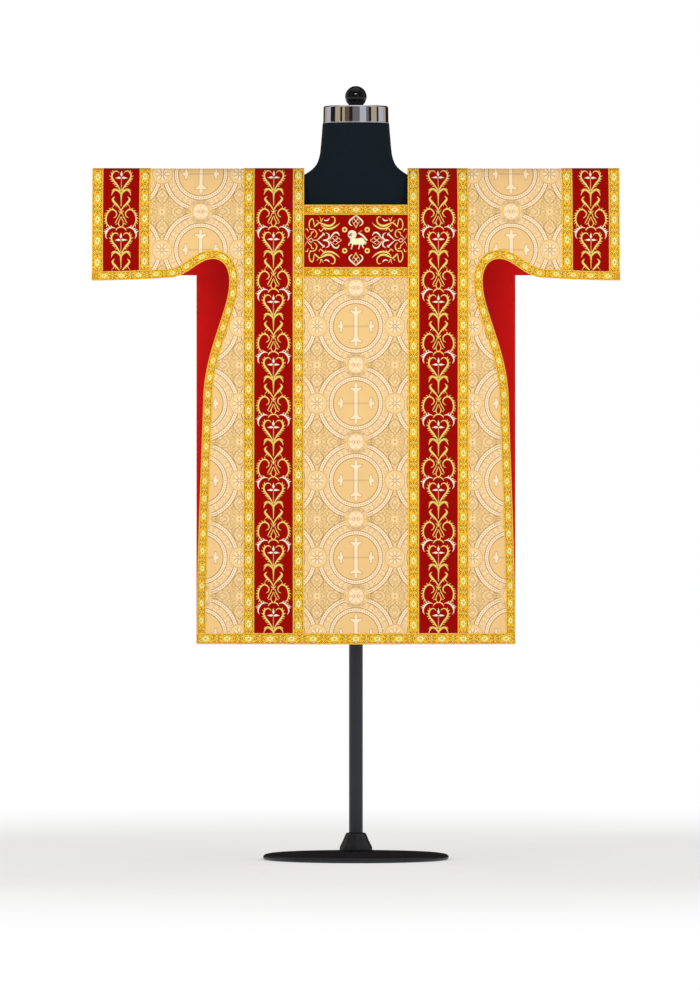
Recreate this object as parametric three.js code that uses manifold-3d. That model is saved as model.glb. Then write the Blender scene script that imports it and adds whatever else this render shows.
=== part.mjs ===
// A tunicle, the vestment of a subdeacon, worn by a limbless dress form on a round base.
// Millimetres, +Z up. The origin is on the floor under the middle of the stand, and the front faces -Y.
//
// The cloth has a front and a back, each cut in one with its half of both sleeves and joined along the
// top of the shoulders. A point of either is given by x, across the garment, and drop, the height that it
// lies below the shoulder seam. Every band, galloon and lining is made from the same points, moved along
// the cloth's own normal.

import * as THREE from 'three';
import { mergeVertices } from 'three/addons/utils/BufferGeometryUtils.js';
import Module from 'manifold-3d';

const wasm = await Module();
wasm.setup();

// ---------------------------------------------------------------- driving dimensions

const SHOULDER_Z = 1600;
const LENGTH = 1100; // shoulder seam to hem
const HALF_SPAN = 610; // centre to the cuff's edge
const HALF_BODY = 367; // centre to the side edge at the hem of the front
const BACK_HALF_BODY = 371; // the back is cut a little wider than the front
const BACK_SLEEVE_DROP = 245; // lower edge of the back's straight sleeve
const NECK_HALF = 119.5;
const FRONT_NECK_DROP = 87;
const BACK_NECK_DROP = 50;

const GALLOON = 26; // width of the woven gold trimming
const NECK_GALLOON = 23.4; // the same trimming, turned in a little at the neck
const EDGE_GALLOON = 21; // and turned in further round the curved edge
const CLAVUS = 88.5; // width of the red band between two galloons
const YOKE_DROP = 121.2; // height of the red panel under the front neck
const CUFF = 83.5; // width of the red cuff band

const CLOTH = 1.6; // wall of the brocade panels
const LINING = 1;
const BAND = 1.2; // wall of what is sewn on
const SEAM = 0.3; // gap between neighbours, and between layers

// The cloth comes forward over the shoulder along a superellipse and then hangs straight.
const ROUNDING_DROP = 250;
const ROUNDING_POWER = 1.7;
const FRONT = { name: 'front', sign: -1, centreDepth: 135, cuffDepth: 55 };
const BACK = { name: 'back', sign: 1, centreDepth: 130, cuffDepth: 50 };

// Facets: rows over the rounding, rows of the straight fall, and the width of a column.
const ROUNDED_ROWS = 8;
const STRAIGHT_ROWS = 2;
const COLUMN = 56;
const OVERCUT = 20; // how far the cutting shapes and the grid pass the cloth's edge

// ---------------------------------------------------------------- finishes

const finish = {
  brocade: { color: 0xeed1a0, roughness: 0.55, metalness: 0.1 },
  lining: { color: 0xbe1412, roughness: 0.6, metalness: 0 },
  red: { color: 0xa8080c, roughness: 0.7, metalness: 0 },
  galloon: { color: 0xf0b428, roughness: 0.4, metalness: 0.3 },
  cover: { color: 0x1b2126, roughness: 0.85, metalness: 0 },
  chrome: { color: 0xc8c8cc, roughness: 0.08, metalness: 1 },
  gloss: { color: 0x08090a, roughness: 0.12, metalness: 0 },
  steel: { color: 0x2a2c2e, roughness: 0.35, metalness: 0.9 },
};

const tunicle = new THREE.Group();

function add(name, geometry, look) {
  const mesh = new THREE.Mesh(geometry, new THREE.MeshStandardMaterial(finish[look]));
  mesh.name = name;
  tunicle.add(mesh);
}

// ---------------------------------------------------------------- the cloth's surface

/** How much of its full depth the cloth has reached at this drop, from 0 at the seam to 1. */
function shoulderShare(drop) {
  const left = Math.max(0, 1 - drop / ROUNDING_DROP);
  return (1 - left ** ROUNDING_POWER) ** (1 / ROUNDING_POWER);
}

function shoulderSlope(drop) {
  const left = Math.max(0, 1 - drop / ROUNDING_DROP);
  const share = shoulderShare(drop);
  return (left / share) ** (ROUNDING_POWER - 1) / ROUNDING_DROP;
}

/** Depth of the straight fall: full at the middle of the chest, shallow at the cuffs. */
function fullDepth(side, x) {
  const turn = ((Math.PI / 2) * x) / HALF_SPAN;
  return side.cuffDepth + (side.centreDepth - side.cuffDepth) * Math.cos(turn);
}

function fullDepthSlope(side, x) {
  const turn = Math.PI / 2 / HALF_SPAN;
  return -(side.centreDepth - side.cuffDepth) * turn * Math.sin(turn * x);
}

function clothNormal(side, x, drop) {
  if (drop <= 0) return new THREE.Vector3(0, 0, 1);
  const across = -fullDepthSlope(side, x) * shoulderShare(drop);
  const up = fullDepth(side, x) * shoulderSlope(drop);
  return new THREE.Vector3(across, side.sign, up).normalize();
}

function clothPoint(side, x, drop, lift) {
  const depth = SEAM / 2 + fullDepth(side, x) * shoulderShare(drop);
  const point = new THREE.Vector3(x, side.sign * depth, SHOULDER_Z - drop);
  return point.addScaledVector(clothNormal(side, x, drop), lift);
}

// ---------------------------------------------------------------- making a piece of cloth

function rowDrops() {
  const drops = [];
  for (let i = 0; i <= ROUNDED_ROWS; i++) {
    const turn = (Math.PI / 2) * (i / ROUNDED_ROWS);
    drops.push(ROUNDING_DROP * (1 - Math.max(0, Math.cos(turn)) ** (2 / ROUNDING_POWER)));
  }
  for (let i = 1; i <= STRAIGHT_ROWS; i++) {
    drops.push(ROUNDING_DROP + ((LENGTH + OVERCUT - ROUNDING_DROP) * i) / STRAIGHT_ROWS);
  }
  return drops;
}

function columnPlaces() {
  const count = Math.ceil((HALF_SPAN + OVERCUT) / COLUMN);
  return Array.from({ length: 2 * count + 1 }, (_, i) => (i - count) * COLUMN);
}

function toSolid(positions, indices) {
  const mesh = new wasm.Mesh({
    numProp: 3,
    vertProperties: Float32Array.from(positions),
    triVerts: Uint32Array.from(indices),
  });
  return new wasm.Manifold(mesh);
}

function toGeometry(solid) {
  const mesh = solid.getMesh();
  const geometry = new THREE.BufferGeometry();
  geometry.setAttribute('position', new THREE.BufferAttribute(mesh.vertProperties, 3));
  geometry.setIndex(new THREE.BufferAttribute(mesh.triVerts, 1));
  return geometry;
}

/** The whole side as a wall between two distances from the cloth's surface, before it is cut out. */
function wall(side, inner, outer) {
  const drops = rowDrops();
  const places = columnPlaces();
  const across = places.length;
  const layer = drops.length * across;
  const positions = [];
  for (const lift of [outer, inner]) {
    for (const drop of drops) {
      for (const x of places) positions.push(...clothPoint(side, x, drop, lift).toArray());
    }
  }
  const indices = [];
  // a quad given anticlockwise as seen from outside the front; the back's are turned round
  function quad(a, b, c, d) {
    indices.push(...(side.sign < 0 ? [a, b, c, a, c, d] : [a, c, b, a, d, c]));
  }
  for (let i = 0; i + 1 < drops.length; i++) {
    for (let j = 0; j + 1 < across; j++) {
      const at = i * across + j;
      quad(at, at + across, at + across + 1, at + 1);
      quad(layer + at, layer + at + 1, layer + at + across + 1, layer + at + across);
    }
  }
  const last = (drops.length - 1) * across;
  for (let j = 0; j + 1 < across; j++) {
    quad(j, j + 1, layer + j + 1, layer + j);
    quad(last + j, layer + last + j, layer + last + j + 1, last + j + 1);
  }
  for (let i = 0; i + 1 < drops.length; i++) {
    const left = i * across;
    const right = left + across - 1;
    quad(left, layer + left, layer + left + across, left + across);
    quad(right, right + across, layer + right + across, layer + right);
  }
  return toSolid(positions, indices);
}

const CUT_DEPTH = 400;
const SAME_POINT = 1e-4; // corners nearer than this are one corner

/** A cutter through one side, from an outline of (x, drop) points. */
function cutter(side, outline) {
  const shape = new THREE.Shape(outline.map(([x, drop]) => new THREE.Vector2(x, SHOULDER_Z - drop)));
  const geometry = new THREE.ExtrudeGeometry(shape, { depth: CUT_DEPTH, bevelEnabled: false });
  geometry.rotateX(Math.PI / 2);
  geometry.translate(0, side.sign < 0 ? OVERCUT : CUT_DEPTH - OVERCUT, 0);
  geometry.deleteAttribute('normal');
  geometry.deleteAttribute('uv');
  const merged = mergeVertices(geometry, SAME_POINT);
  return toSolid(merged.attributes.position.array, merged.index.array);
}

function rectangle(x0, x1, drop0, drop1) {
  return [[x0, drop0], [x1, drop0], [x1, drop1], [x0, drop1]];
}

// ---------------------------------------------------------------- outlines

// The front's edge from the cuff round the underarm to the hem, as cubic curves of (x, drop).
const FRONT_EDGE = [
  { from: [HALF_SPAN, 261], pulls: [[540, 261], [480, 258]], to: [430, 255.5], steps: 2 },
  { from: [430, 255.5], pulls: [[385, 252], [365, 212]], to: [329, 212], steps: 5 },
  { from: [329, 212], pulls: [[306, 212], [291.5, 233]], to: [291.5, 263], steps: 5 },
  { from: [291.5, 263], pulls: [[291.5, 331], [348, 420]], to: [351.5, 530], steps: 6 },
  { from: [351.5, 530], pulls: [[356, 680], [HALF_BODY, 900]], to: [HALF_BODY, LENGTH], steps: 3 },
];

function frontEdge() {
  const points = [];
  for (const bend of FRONT_EDGE) {
    const controls = [bend.from, ...bend.pulls, bend.to].map(([x, drop]) => new THREE.Vector2(x, drop));
    const curve = new THREE.CubicBezierCurve(...controls);
    const found = curve.getPoints(bend.steps).map((p, i) => ({ p, along: curve.getTangent(i / bend.steps) }));
    points.push(...(points.length ? found.slice(1) : found));
  }
  return points;
}

/** The edge moved into the cloth by a distance, as [x, drop] pairs from the cuff to the hem. */
function insideEdge(distance) {
  return frontEdge().map(({ p, along }) => [p.x - along.y * distance, p.y + along.x * distance]);
}

/** The back's edge is straight: out along the sleeve and down the side. */
function backEdge(distance) {
  return [
    [HALF_SPAN, BACK_SLEEVE_DROP - distance],
    [BACK_HALF_BODY - distance, BACK_SLEEVE_DROP - distance],
    [BACK_HALF_BODY - distance, LENGTH],
  ];
}

function edgeOf(side, distance) {
  return side === FRONT ? insideEdge(distance) : backEdge(distance);
}

function mirrored(points) {
  return points.map(([x, drop]) => [-x, drop]).reverse();
}

/** The strip that follows the right edge, from one distance inside it to another. */
function edgeStrip(side, near, far, hem) {
  const outer = edgeOf(side, near);
  const inner = edgeOf(side, far);
  outer[0][0] = HALF_SPAN;
  inner[0][0] = HALF_SPAN;
  outer[outer.length - 1][1] = hem;
  inner[inner.length - 1][1] = hem;
  return [...outer, ...inner.reverse()];
}

/** A whole side: both sleeves, the body, and the square neck opening. */
function sideOutline(side, neckDrop) {
  const right = [[NECK_HALF, -OVERCUT], [HALF_SPAN, -OVERCUT], ...edgeOf(side, 0)];
  const neck = [[-NECK_HALF, neckDrop], [NECK_HALF, neckDrop]];
  return [...right, ...mirrored(right), ...neck];
}

// ---------------------------------------------------------------- front, back and lining

const neckDrop = { front: FRONT_NECK_DROP, back: BACK_NECK_DROP };

for (const side of [FRONT, BACK]) {
  const outline = cutter(side, sideOutline(side, neckDrop[side.name]));
  add(side.name, toGeometry(wall(side, -CLOTH, 0).intersect(outline)), 'brocade');
}

const liningOutline = cutter(BACK, sideOutline(BACK, BACK_NECK_DROP));
const liningTop = -CLOTH - SEAM;
add('back_lining', toGeometry(wall(BACK, liningTop - LINING, liningTop).intersect(liningOutline)), 'lining');

// ---------------------------------------------------------------- bands and galloons

const sewnOn = Object.fromEntries([FRONT, BACK].map((side) => [side.name, wall(side, SEAM, SEAM + BAND)]));
const halfSeam = SEAM / 2;

/** Cuts one sewn-on piece. `outline` is its finished outline, and `without` a shape taken away from it. */
function sew(name, side, outline, look, without) {
  let piece = sewnOn[side.name].intersect(cutter(side, outline));
  if (without) piece = piece.subtract(cutter(side, without));
  add(name, toGeometry(piece), look);
}

/** The same piece on the right and, mirrored, on the left. */
function sewPair(name, side, outline, look, without) {
  sew(`${name}_right`, side, outline, look, without);
  sew(`${name}_left`, side, mirrored(outline), look, without && mirrored(without));
}

const clavusIn = NECK_HALF + GALLOON;
const clavusOut = clavusIn + CLAVUS;
const cuffOut = HALF_SPAN - GALLOON;
const cuffIn = cuffOut - CUFF;
const hemTop = LENGTH - GALLOON;
const aboveHem = hemTop - halfSeam;
const CUFF_CUT = 242; // drop that lies under the underarm galloon, front and back

for (const side of [FRONT, BACK]) {
  const neck = neckDrop[side.name];
  const halfHem = side === FRONT ? HALF_BODY : BACK_HALF_BODY;
  const strip = (x0, x1, bottom) => rectangle(x0 + halfSeam, x1 - halfSeam, -OVERCUT, bottom);

  for (const [part, x0, x1, look] of [
    ['clavus_inner_galloon', NECK_HALF - halfSeam, clavusIn, 'galloon'],
    ['clavus', clavusIn, clavusOut, 'red'],
    ['clavus_outer_galloon', clavusOut, clavusOut + GALLOON, 'galloon'],
  ]) {
    sewPair(`${part}_${side.name}`, side, strip(x0, x1, aboveHem), look);
  }

  // the cuff's pieces end on the underarm galloon, whose shape is taken away from them
  const underarm = edgeStrip(side, -OVERCUT, EDGE_GALLOON + SEAM, aboveHem);
  for (const [part, x0, x1, look] of [
    ['cuff_inner_galloon', cuffIn - GALLOON, cuffIn, 'galloon'],
    ['cuff', cuffIn, cuffOut, 'red'],
    ['cuff_outer_galloon', cuffOut, HALF_SPAN + halfSeam, 'galloon'],
  ]) {
    sewPair(`${part}_${side.name}`, side, strip(x0, x1, CUFF_CUT), look, underarm);
  }
  sewPair(`side_galloon_${side.name}`, side, edgeStrip(side, 0, EDGE_GALLOON, aboveHem), 'galloon');

  const across = (top, bottom) => rectangle(-NECK_HALF + SEAM, NECK_HALF - SEAM, top, bottom);
  sew(`neck_galloon_${side.name}`, side, across(neck, neck + NECK_GALLOON), 'galloon');
  sew(`hem_galloon_${side.name}`, side, rectangle(-halfHem, halfHem, hemTop + halfSeam, LENGTH), 'galloon');
  if (side === FRONT) {
    const yokeTop = neck + NECK_GALLOON + SEAM;
    const yokeBottom = yokeTop + YOKE_DROP;
    sew('yoke', side, across(yokeTop, yokeBottom), 'red');
    sew('yoke_galloon', side, across(yokeBottom + SEAM, yokeBottom + NECK_GALLOON), 'galloon');
  }
}

// ---------------------------------------------------------------- the dress form

const FORM_SIDES = 28;

/** A closed body through elliptical sections: height, half width, half depth, and how far forward each is. */
function loft(sections) {
  const positions = [];
  for (const { z, wide, deep, forward } of sections) {
    for (let j = 0; j < FORM_SIDES; j++) {
      const turn = (2 * Math.PI * j) / FORM_SIDES;
      positions.push(wide * Math.cos(turn), deep * Math.sin(turn) - forward, z);
    }
  }
  const bottom = positions.length / 3;
  const [lowest, highest] = [sections[0], sections[sections.length - 1]];
  positions.push(0, -lowest.forward, lowest.z, 0, -highest.forward, highest.z);
  const indices = [];
  for (let j = 0; j < FORM_SIDES; j++) {
    const next = (j + 1) % FORM_SIDES;
    for (let i = 0; i + 1 < sections.length; i++) {
      const low = i * FORM_SIDES;
      const high = low + FORM_SIDES;
      indices.push(low + j, low + next, high + next, low + j, high + next, high + j);
    }
    const top = (sections.length - 1) * FORM_SIDES;
    indices.push(bottom, next, j, bottom + 1, top + j, top + next);
  }
  const geometry = new THREE.BufferGeometry();
  geometry.setAttribute('position', new THREE.Float32BufferAttribute(positions, 3));
  geometry.setIndex(indices);
  return geometry;
}

/** A turned piece from a profile of (radius, height) points that starts and ends on the axis. */
function turned(profile) {
  const geometry = new THREE.LatheGeometry(profile.map(([r, z]) => new THREE.Vector2(r, z)), FORM_SIDES);
  geometry.rotateX(Math.PI / 2);
  return geometry;
}

const TORSO_BOTTOM_Z = 900;
const NECK_TOP_Z = 1704;
const NECK_FORWARD = 10;

add('form_torso', loft([
  { z: TORSO_BOTTOM_Z, wide: 160, deep: 92, forward: 0 },
  { z: 930, wide: 170, deep: 99, forward: 0 },
  { z: 1040, wide: 174, deep: 103, forward: 0 },
  { z: 1120, wide: 160, deep: 95, forward: 0 },
  { z: 1200, wide: 147, deep: 89, forward: 0 },
  { z: 1300, wide: 160, deep: 96, forward: 1 },
  { z: 1390, wide: 178, deep: 102, forward: 3 },
  { z: 1460, wide: 190, deep: 95, forward: 4 },
  { z: 1510, wide: 195, deep: 80, forward: 4 },
  { z: 1540, wide: 190, deep: 67, forward: 5 },
  { z: 1560, wide: 168, deep: 58, forward: 6 },
  { z: 1574, wide: 143, deep: 56, forward: 7 },
  { z: 1588, wide: 115, deep: 58, forward: 8 },
  { z: 1604, wide: 95, deep: 60, forward: 9 },
  { z: 1622, wide: 86, deep: 63, forward: NECK_FORWARD },
  { z: 1644, wide: 82, deep: 65, forward: NECK_FORWARD },
  { z: NECK_TOP_Z - SEAM, wide: 77, deep: 64, forward: NECK_FORWARD },
]), 'cover');

const CAP_HEIGHT = 40;
const CAP_BEVEL = 3;
const capTop = NECK_TOP_Z + CAP_HEIGHT;
add('form_neck_cap', loft([
  { z: NECK_TOP_Z, wide: 75.5, deep: 62.5, forward: NECK_FORWARD },
  { z: capTop - CAP_BEVEL, wide: 75, deep: 62, forward: NECK_FORWARD },
  { z: capTop, wide: 75 - CAP_BEVEL, deep: 62 - CAP_BEVEL, forward: NECK_FORWARD },
]), 'chrome');

const BALL = 25; // radius of the ball
const BALL_NECK = 16; // radius of the short neck under it
const BALL_NECK_HEIGHT = 2;
const BALL_STEPS = 12;
const ballFoot = capTop + SEAM;
const ballCentre = ballFoot + Math.sqrt(BALL ** 2 - BALL_NECK ** 2) + BALL_NECK_HEIGHT;
const ballStart = -Math.acos(BALL_NECK / BALL);
const ballProfile = Array.from({ length: BALL_STEPS + 1 }, (_, i) => {
  const turn = ballStart + ((Math.PI / 2 - ballStart) * i) / BALL_STEPS;
  return [i === BALL_STEPS ? 0 : BALL * Math.cos(turn), ballCentre + BALL * Math.sin(turn)];
});
const finial = turned([[0, ballFoot], [BALL_NECK, ballFoot], ...ballProfile]);
add('form_finial', finial.translate(0, -NECK_FORWARD, 0), 'gloss');

// A board closes the torso's underside, and the post is screwed to it.
const BOARD_THICKNESS = 12;
const boardTop = TORSO_BOTTOM_Z - SEAM;
const boardBottom = boardTop - BOARD_THICKNESS;
const board = { wide: 150, deep: 82, forward: 0 };
add('form_board', loft([{ z: boardBottom, ...board }, { z: boardTop, ...board }]), 'gloss');

const POST_RADIUS = 16;
const BASE_RADIUS = 215;
const BASE_TOP = 20;
const SOCKET_TOP = 62; // top of the socket that holds the post on the base
const SOCKET_RADIUS = 38;

add('form_post', turned([
  [0, SOCKET_TOP + SEAM],
  [POST_RADIUS, SOCKET_TOP + SEAM],
  [POST_RADIUS, boardBottom - SEAM],
  [0, boardBottom - SEAM],
]), 'steel');

add('form_socket', turned([
  [0, BASE_TOP + SEAM],
  [SOCKET_RADIUS, BASE_TOP + SEAM],
  [SOCKET_RADIUS, BASE_TOP + 8],
  [30, 44],
  [24, SOCKET_TOP - 3],
  [21, SOCKET_TOP],
  [0, SOCKET_TOP],
]), 'steel');

add('form_base', turned([
  [0, 0],
  [BASE_RADIUS - 3, 0],
  [BASE_RADIUS, 3],
  [BASE_RADIUS, 8],
  [BASE_RADIUS - 4, 12],
  [BASE_RADIUS - 15, 14],
  [60, BASE_TOP],
  [0, BASE_TOP],
]), 'steel');

export default tunicle;
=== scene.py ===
# A gold brocade tunicle with red orphreys, worn by a limbless dress form on a post and a round base.
# Metres, +Z up, the front faces -Y. On the cloth a place is given flat, as (x, drop): x across the
# garment, and drop, the height that it lies below the shoulder seam.

import math

import bmesh
import bpy
import numpy as np
from mathutils import Matrix, Vector
from mathutils.geometry import delaunay_2d_cdt


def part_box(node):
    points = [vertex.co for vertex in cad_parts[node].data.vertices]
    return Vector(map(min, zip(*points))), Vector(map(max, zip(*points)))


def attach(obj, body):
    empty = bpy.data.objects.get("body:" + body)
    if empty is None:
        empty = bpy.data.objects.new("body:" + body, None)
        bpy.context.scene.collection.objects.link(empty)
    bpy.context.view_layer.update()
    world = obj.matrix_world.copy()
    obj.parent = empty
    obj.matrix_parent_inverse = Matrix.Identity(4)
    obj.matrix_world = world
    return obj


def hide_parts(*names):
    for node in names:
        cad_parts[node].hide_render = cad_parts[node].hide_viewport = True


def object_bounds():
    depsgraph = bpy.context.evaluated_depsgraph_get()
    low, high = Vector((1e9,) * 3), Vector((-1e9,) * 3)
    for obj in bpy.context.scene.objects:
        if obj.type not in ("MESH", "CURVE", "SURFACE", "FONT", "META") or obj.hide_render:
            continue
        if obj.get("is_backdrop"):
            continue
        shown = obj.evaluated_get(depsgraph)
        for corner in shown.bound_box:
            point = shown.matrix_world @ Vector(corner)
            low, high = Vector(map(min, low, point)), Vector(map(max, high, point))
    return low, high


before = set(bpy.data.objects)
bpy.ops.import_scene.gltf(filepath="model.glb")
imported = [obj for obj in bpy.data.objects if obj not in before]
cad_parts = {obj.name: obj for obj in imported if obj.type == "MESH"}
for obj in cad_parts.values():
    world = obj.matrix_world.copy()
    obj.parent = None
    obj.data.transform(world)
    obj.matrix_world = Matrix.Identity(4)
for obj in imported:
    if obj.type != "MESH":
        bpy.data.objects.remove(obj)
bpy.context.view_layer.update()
scene = bpy.context.scene
scene.view_settings.view_transform = "Standard"


# ------------------------------------------------------------------ the room
# A seamless pale studio: a round floor that fades into the white surround, and soft lamps on all sides. A
# low one is for the red lining alone, and a small one only glints in the ball. The camera is far off.

FLOOR_RADIUS = 60.0
FLOOR_SHOWN = (1.1, 3.6)  # the floor's own shade ends between these distances from the stand
FLOOR_GLOW = 0.35
WHITE = (1.0, 1.0, 1.0, 1.0)


def new_material(name):
    """A material whose node tree is empty, and that tree."""
    made = bpy.data.materials.new(name)
    made.use_nodes = True
    made.node_tree.nodes.clear()
    return made, made.node_tree


def node(tree, kind, attributes=None, **inputs):
    """Adds a node and sets its attributes. An input, by name or as _number, gets a value or a link."""
    made = tree.nodes.new(kind)
    for name, value in (attributes or {}).items():
        setattr(made, name, value)
    for key, value in inputs.items():
        socket = made.inputs[int(key[1:]) if key[0] == "_" else key.replace("_", " ")]
        if isinstance(value, Number):
            tree.links.new(value.socket, socket)
        else:
            socket.default_value = value
    return made


def get(tree, kind, output, attributes=None, **inputs):
    """One output of a new node, to work on with."""
    return Number(tree, node(tree, kind, attributes, **inputs).outputs[output])


def work_out(operation, *values, clamp=False):
    """Adds a node that works something out from numbers, and gives its result."""
    tree = next(value.tree for value in values if isinstance(value, Number))
    return get(tree, "ShaderNodeMath", 0, {"operation": operation, "use_clamp": clamp},
               **{f"_{i}": value for i, value in enumerate(values)})


class Number:
    """What a node gives: a number, place, colour or shader. Arithmetic on it adds the nodes for it."""

    def __init__(self, tree, socket):
        self.tree, self.socket = tree, socket

    def __add__(self, other):
        return work_out("ADD", self, other)

    def __radd__(self, other):
        return work_out("ADD", other, self)

    def __sub__(self, other):
        return work_out("SUBTRACT", self, other)

    def __rsub__(self, other):
        return work_out("SUBTRACT", other, self)

    def __mul__(self, other):
        return work_out("MULTIPLY", self, other)

    def __truediv__(self, other):
        return work_out("DIVIDE", self, other)

    def __pow__(self, other):
        return work_out("POWER", self, other)

    def __abs__(self):
        return work_out("ABSOLUTE", self)


def angle(y, x):
    """The angle of a direction, in radians."""
    return work_out("ARCTAN2", y, x)


def noise(spot, scale, detail, output="Fac", **inputs):
    """Cloudy unevenness at a place, finer as the scale grows."""
    return get(spot.tree, "ShaderNodeTexNoise", output, Vector=spot, Scale=scale, Detail=detail, **inputs)


def apart(spot):
    """The x, y and z of a place."""
    split = node(spot.tree, "ShaderNodeSeparateXYZ", Vector=spot)
    return [Number(spot.tree, output) for output in split.outputs]


def blend(share, a, b):
    """Colour a, going over to b as the share goes from 0 to 1."""
    return get(share.tree, "ShaderNodeMix", 2, {"data_type": "RGBA"}, Factor=share, _6=a, _7=b)


def disc_mesh(name, radius, corners=64):
    turns = [2 * math.pi * i / corners for i in range(corners)]
    mesh = bpy.data.meshes.new(name)
    mesh.from_pydata([(radius * math.cos(t), radius * math.sin(t), 0.0) for t in turns], [], [range(corners)])
    return mesh


def put(name, mesh, *materials):
    """Puts a mesh in the scene as an object of its own."""
    made = bpy.data.objects.new(name, mesh)
    scene.collection.objects.link(made)
    for material in materials:
        mesh.materials.append(material)
    return made


floor_material, tree = new_material("studio_floor")
where = get(tree, "ShaderNodeTexCoord", "Object")
away = get(tree, "ShaderNodeVectorMath", "Value", {"operation": "LENGTH"}, _0=where)
fade = get(tree, "ShaderNodeMapRange", "Result", {"interpolation_type": "SMOOTHSTEP"},
           Value=away, From_Min=FLOOR_SHOWN[0], From_Max=FLOOR_SHOWN[1])
paint = blend(noise(where, 3.0, 4.0), (0.78, 0.78, 0.78, 1.0), (0.82, 0.82, 0.81, 1.0))
matt = get(tree, "ShaderNodeBsdfDiffuse", 0, Color=paint)
glow = get(tree, "ShaderNodeEmission", 0, Color=WHITE, Strength=1.0)
share = get(tree, "ShaderNodeMapRange", "Result", Value=fade, To_Min=FLOOR_GLOW, To_Max=1.0)
both = get(tree, "ShaderNodeMixShader", 0, _0=share, _1=matt, _2=glow)
node(tree, "ShaderNodeOutputMaterial", Surface=both)
put("studio_floor", disc_mesh("studio_floor", FLOOR_RADIUS), floor_material)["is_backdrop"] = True

# The surround is white to the eye, softer as a lamp, and for polished metal a dim room with upright dark,
# brown, grey, buff and pale strips, under a bright ceiling. Strips are given by the angle, in degrees round
# from the camera, at which each begins.
SURROUND_LIGHT = 0.46
DARK, BROWN, GREY = (0.022, 0.018, 0.018), (0.16, 0.10, 0.06), (0.19, 0.18, 0.19)
BUFF, PALE_STRIP, CEILING = (0.55, 0.47, 0.34), (0.60, 0.60, 0.68), (0.85, 0.85, 0.87)
ROOM_STRIPS = ((-180, DARK), (-138, BUFF), (-116, PALE_STRIP), (-92, DARK), (-70, BUFF), (-50, DARK),
               (-43, BUFF), (-34, BROWN), (-21, DARK), (-11, GREY), (10, PALE_STRIP), (30, GREY), (38, DARK),
               (47, BUFF), (68, DARK), (77, PALE_STRIP), (100, BUFF), (122, DARK))

world = bpy.data.worlds.new("studio")
scene.world = world
world.use_nodes = True
tree = world.node_tree
tree.nodes.clear()
toward_x, toward_y, toward_z = apart(get(tree, "ShaderNodeTexCoord", "Generated"))
turned_to = get(tree, "ShaderNodeMapRange", "Result", Value=angle(toward_x, toward_y * -1.0),
                From_Min=-math.pi, From_Max=math.pi)
striped = node(tree, "ShaderNodeValToRGB", Fac=turned_to)
striped.color_ramp.interpolation = "CONSTANT"
for _ in ROOM_STRIPS[2:]:  # a new ramp has its first two stops
    striped.color_ramp.elements.new(0.5)
for stop, (start, shade) in zip(striped.color_ramp.elements, ROOM_STRIPS):
    stop.position, stop.color = start / 360 + 0.5, (*shade, 1.0)
ceiling = get(tree, "ShaderNodeMapRange", "Result", Value=toward_z, From_Min=0.8, From_Max=0.95)
room = blend(ceiling, Number(tree, striped.outputs["Color"]), (*CEILING, 1.0))
seen, lit, mirrored = (get(tree, "ShaderNodeBackground", 0, Color=colour, Strength=strength)
                       for colour, strength in ((WHITE, 1.0), (WHITE, SURROUND_LIGHT), (room, 1.0)))
in_gloss = get(tree, "ShaderNodeLightPath", "Is Glossy Ray")
to_camera = get(tree, "ShaderNodeLightPath", "Is Camera Ray")
shine = get(tree, "ShaderNodeMixShader", 0, _0=in_gloss, _1=lit, _2=mirrored)
whole = get(tree, "ShaderNodeMixShader", 0, _0=to_camera, _1=shine, _2=seen)
node(tree, "ShaderNodeOutputWorld", Surface=whole)


def lamp(name, spot, width, height, power, aim=(0.0, 0.0, 1.1), glint=False):
    """A soft flat lamp. A glint is seen only in what shines; any other lamp never is."""
    light = bpy.data.lights.new(name, "AREA")
    light.shape = "RECTANGLE"
    light.size, light.size_y = width, height
    light.energy = power
    made = bpy.data.objects.new(name, light)
    made.location = spot
    made.rotation_euler = (Vector(aim) - Vector(spot)).to_track_quat("-Z", "Y").to_euler()
    made.visible_camera, made.visible_diffuse, made.visible_glossy = False, not glint, glint
    scene.collection.objects.link(made)
    return made


lamp("lamp_front_left", (-2.9, -3.6, 2.0), 0.7, 2.8, 79.0)
lamp("lamp_front_right", (3.1, -3.4, 1.7), 0.7, 2.8, 67.0)
low_lamp = lamp("lamp_low", (0.0, -3.6, 0.3), 4.4, 0.5, 128.0)
lamp("lamp_above", (0.0, -0.3, 4.2), 2.6, 2.6, 14.0)
lamp("lamp_back_left", (-3.0, 3.4, 2.0), 0.7, 2.8, 50.0)
lamp("lamp_back_right", (3.0, 3.4, 2.0), 0.7, 2.8, 62.0)
glint_lamp = lamp("lamp_glint", (-0.3, -4.6, 4.3), 2.0, 0.7, 90.0, aim=(0.0, 0.0, 1.75), glint=True)

CAMERA_DISTANCE = 20.0
CAMERA_AIM = (-0.0137, 0.8439)  # x and z of the middle of the view
VIEW_HEIGHT = 2.2926  # what the camera takes in at the garment

camera = bpy.data.objects.new("camera", bpy.data.cameras.new("camera"))
camera.location = (CAMERA_AIM[0], -CAMERA_DISTANCE, CAMERA_AIM[1])
camera.rotation_euler = (math.pi / 2, 0.0, 0.0)
camera.data.sensor_width = 36.0
camera.data.lens = camera.data.sensor_width * CAMERA_DISTANCE / VIEW_HEIGHT
camera.data.clip_end = 200.0
scene.collection.objects.link(camera)
scene.camera = camera


# ------------------------------------------------------------------ front and back
# Each is one width of pale gold brocade, cut with its half of both sleeves and joined along the top of
# the shoulders. The front's sides are cut away in a long curve from the cuff round the underarm to the
# hem; the back is a plain T. Both are faced in red inside.

SEAM = 0.0003
ROUNDING_DROP = 0.250  # the cloth comes forward over the shoulder through this height, then hangs straight
ROUNDING_POWER = 1.7
CUFF_DEPTH = {"front": 0.055, "back": 0.050}
SIGN = {"front": -1, "back": 1}

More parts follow.
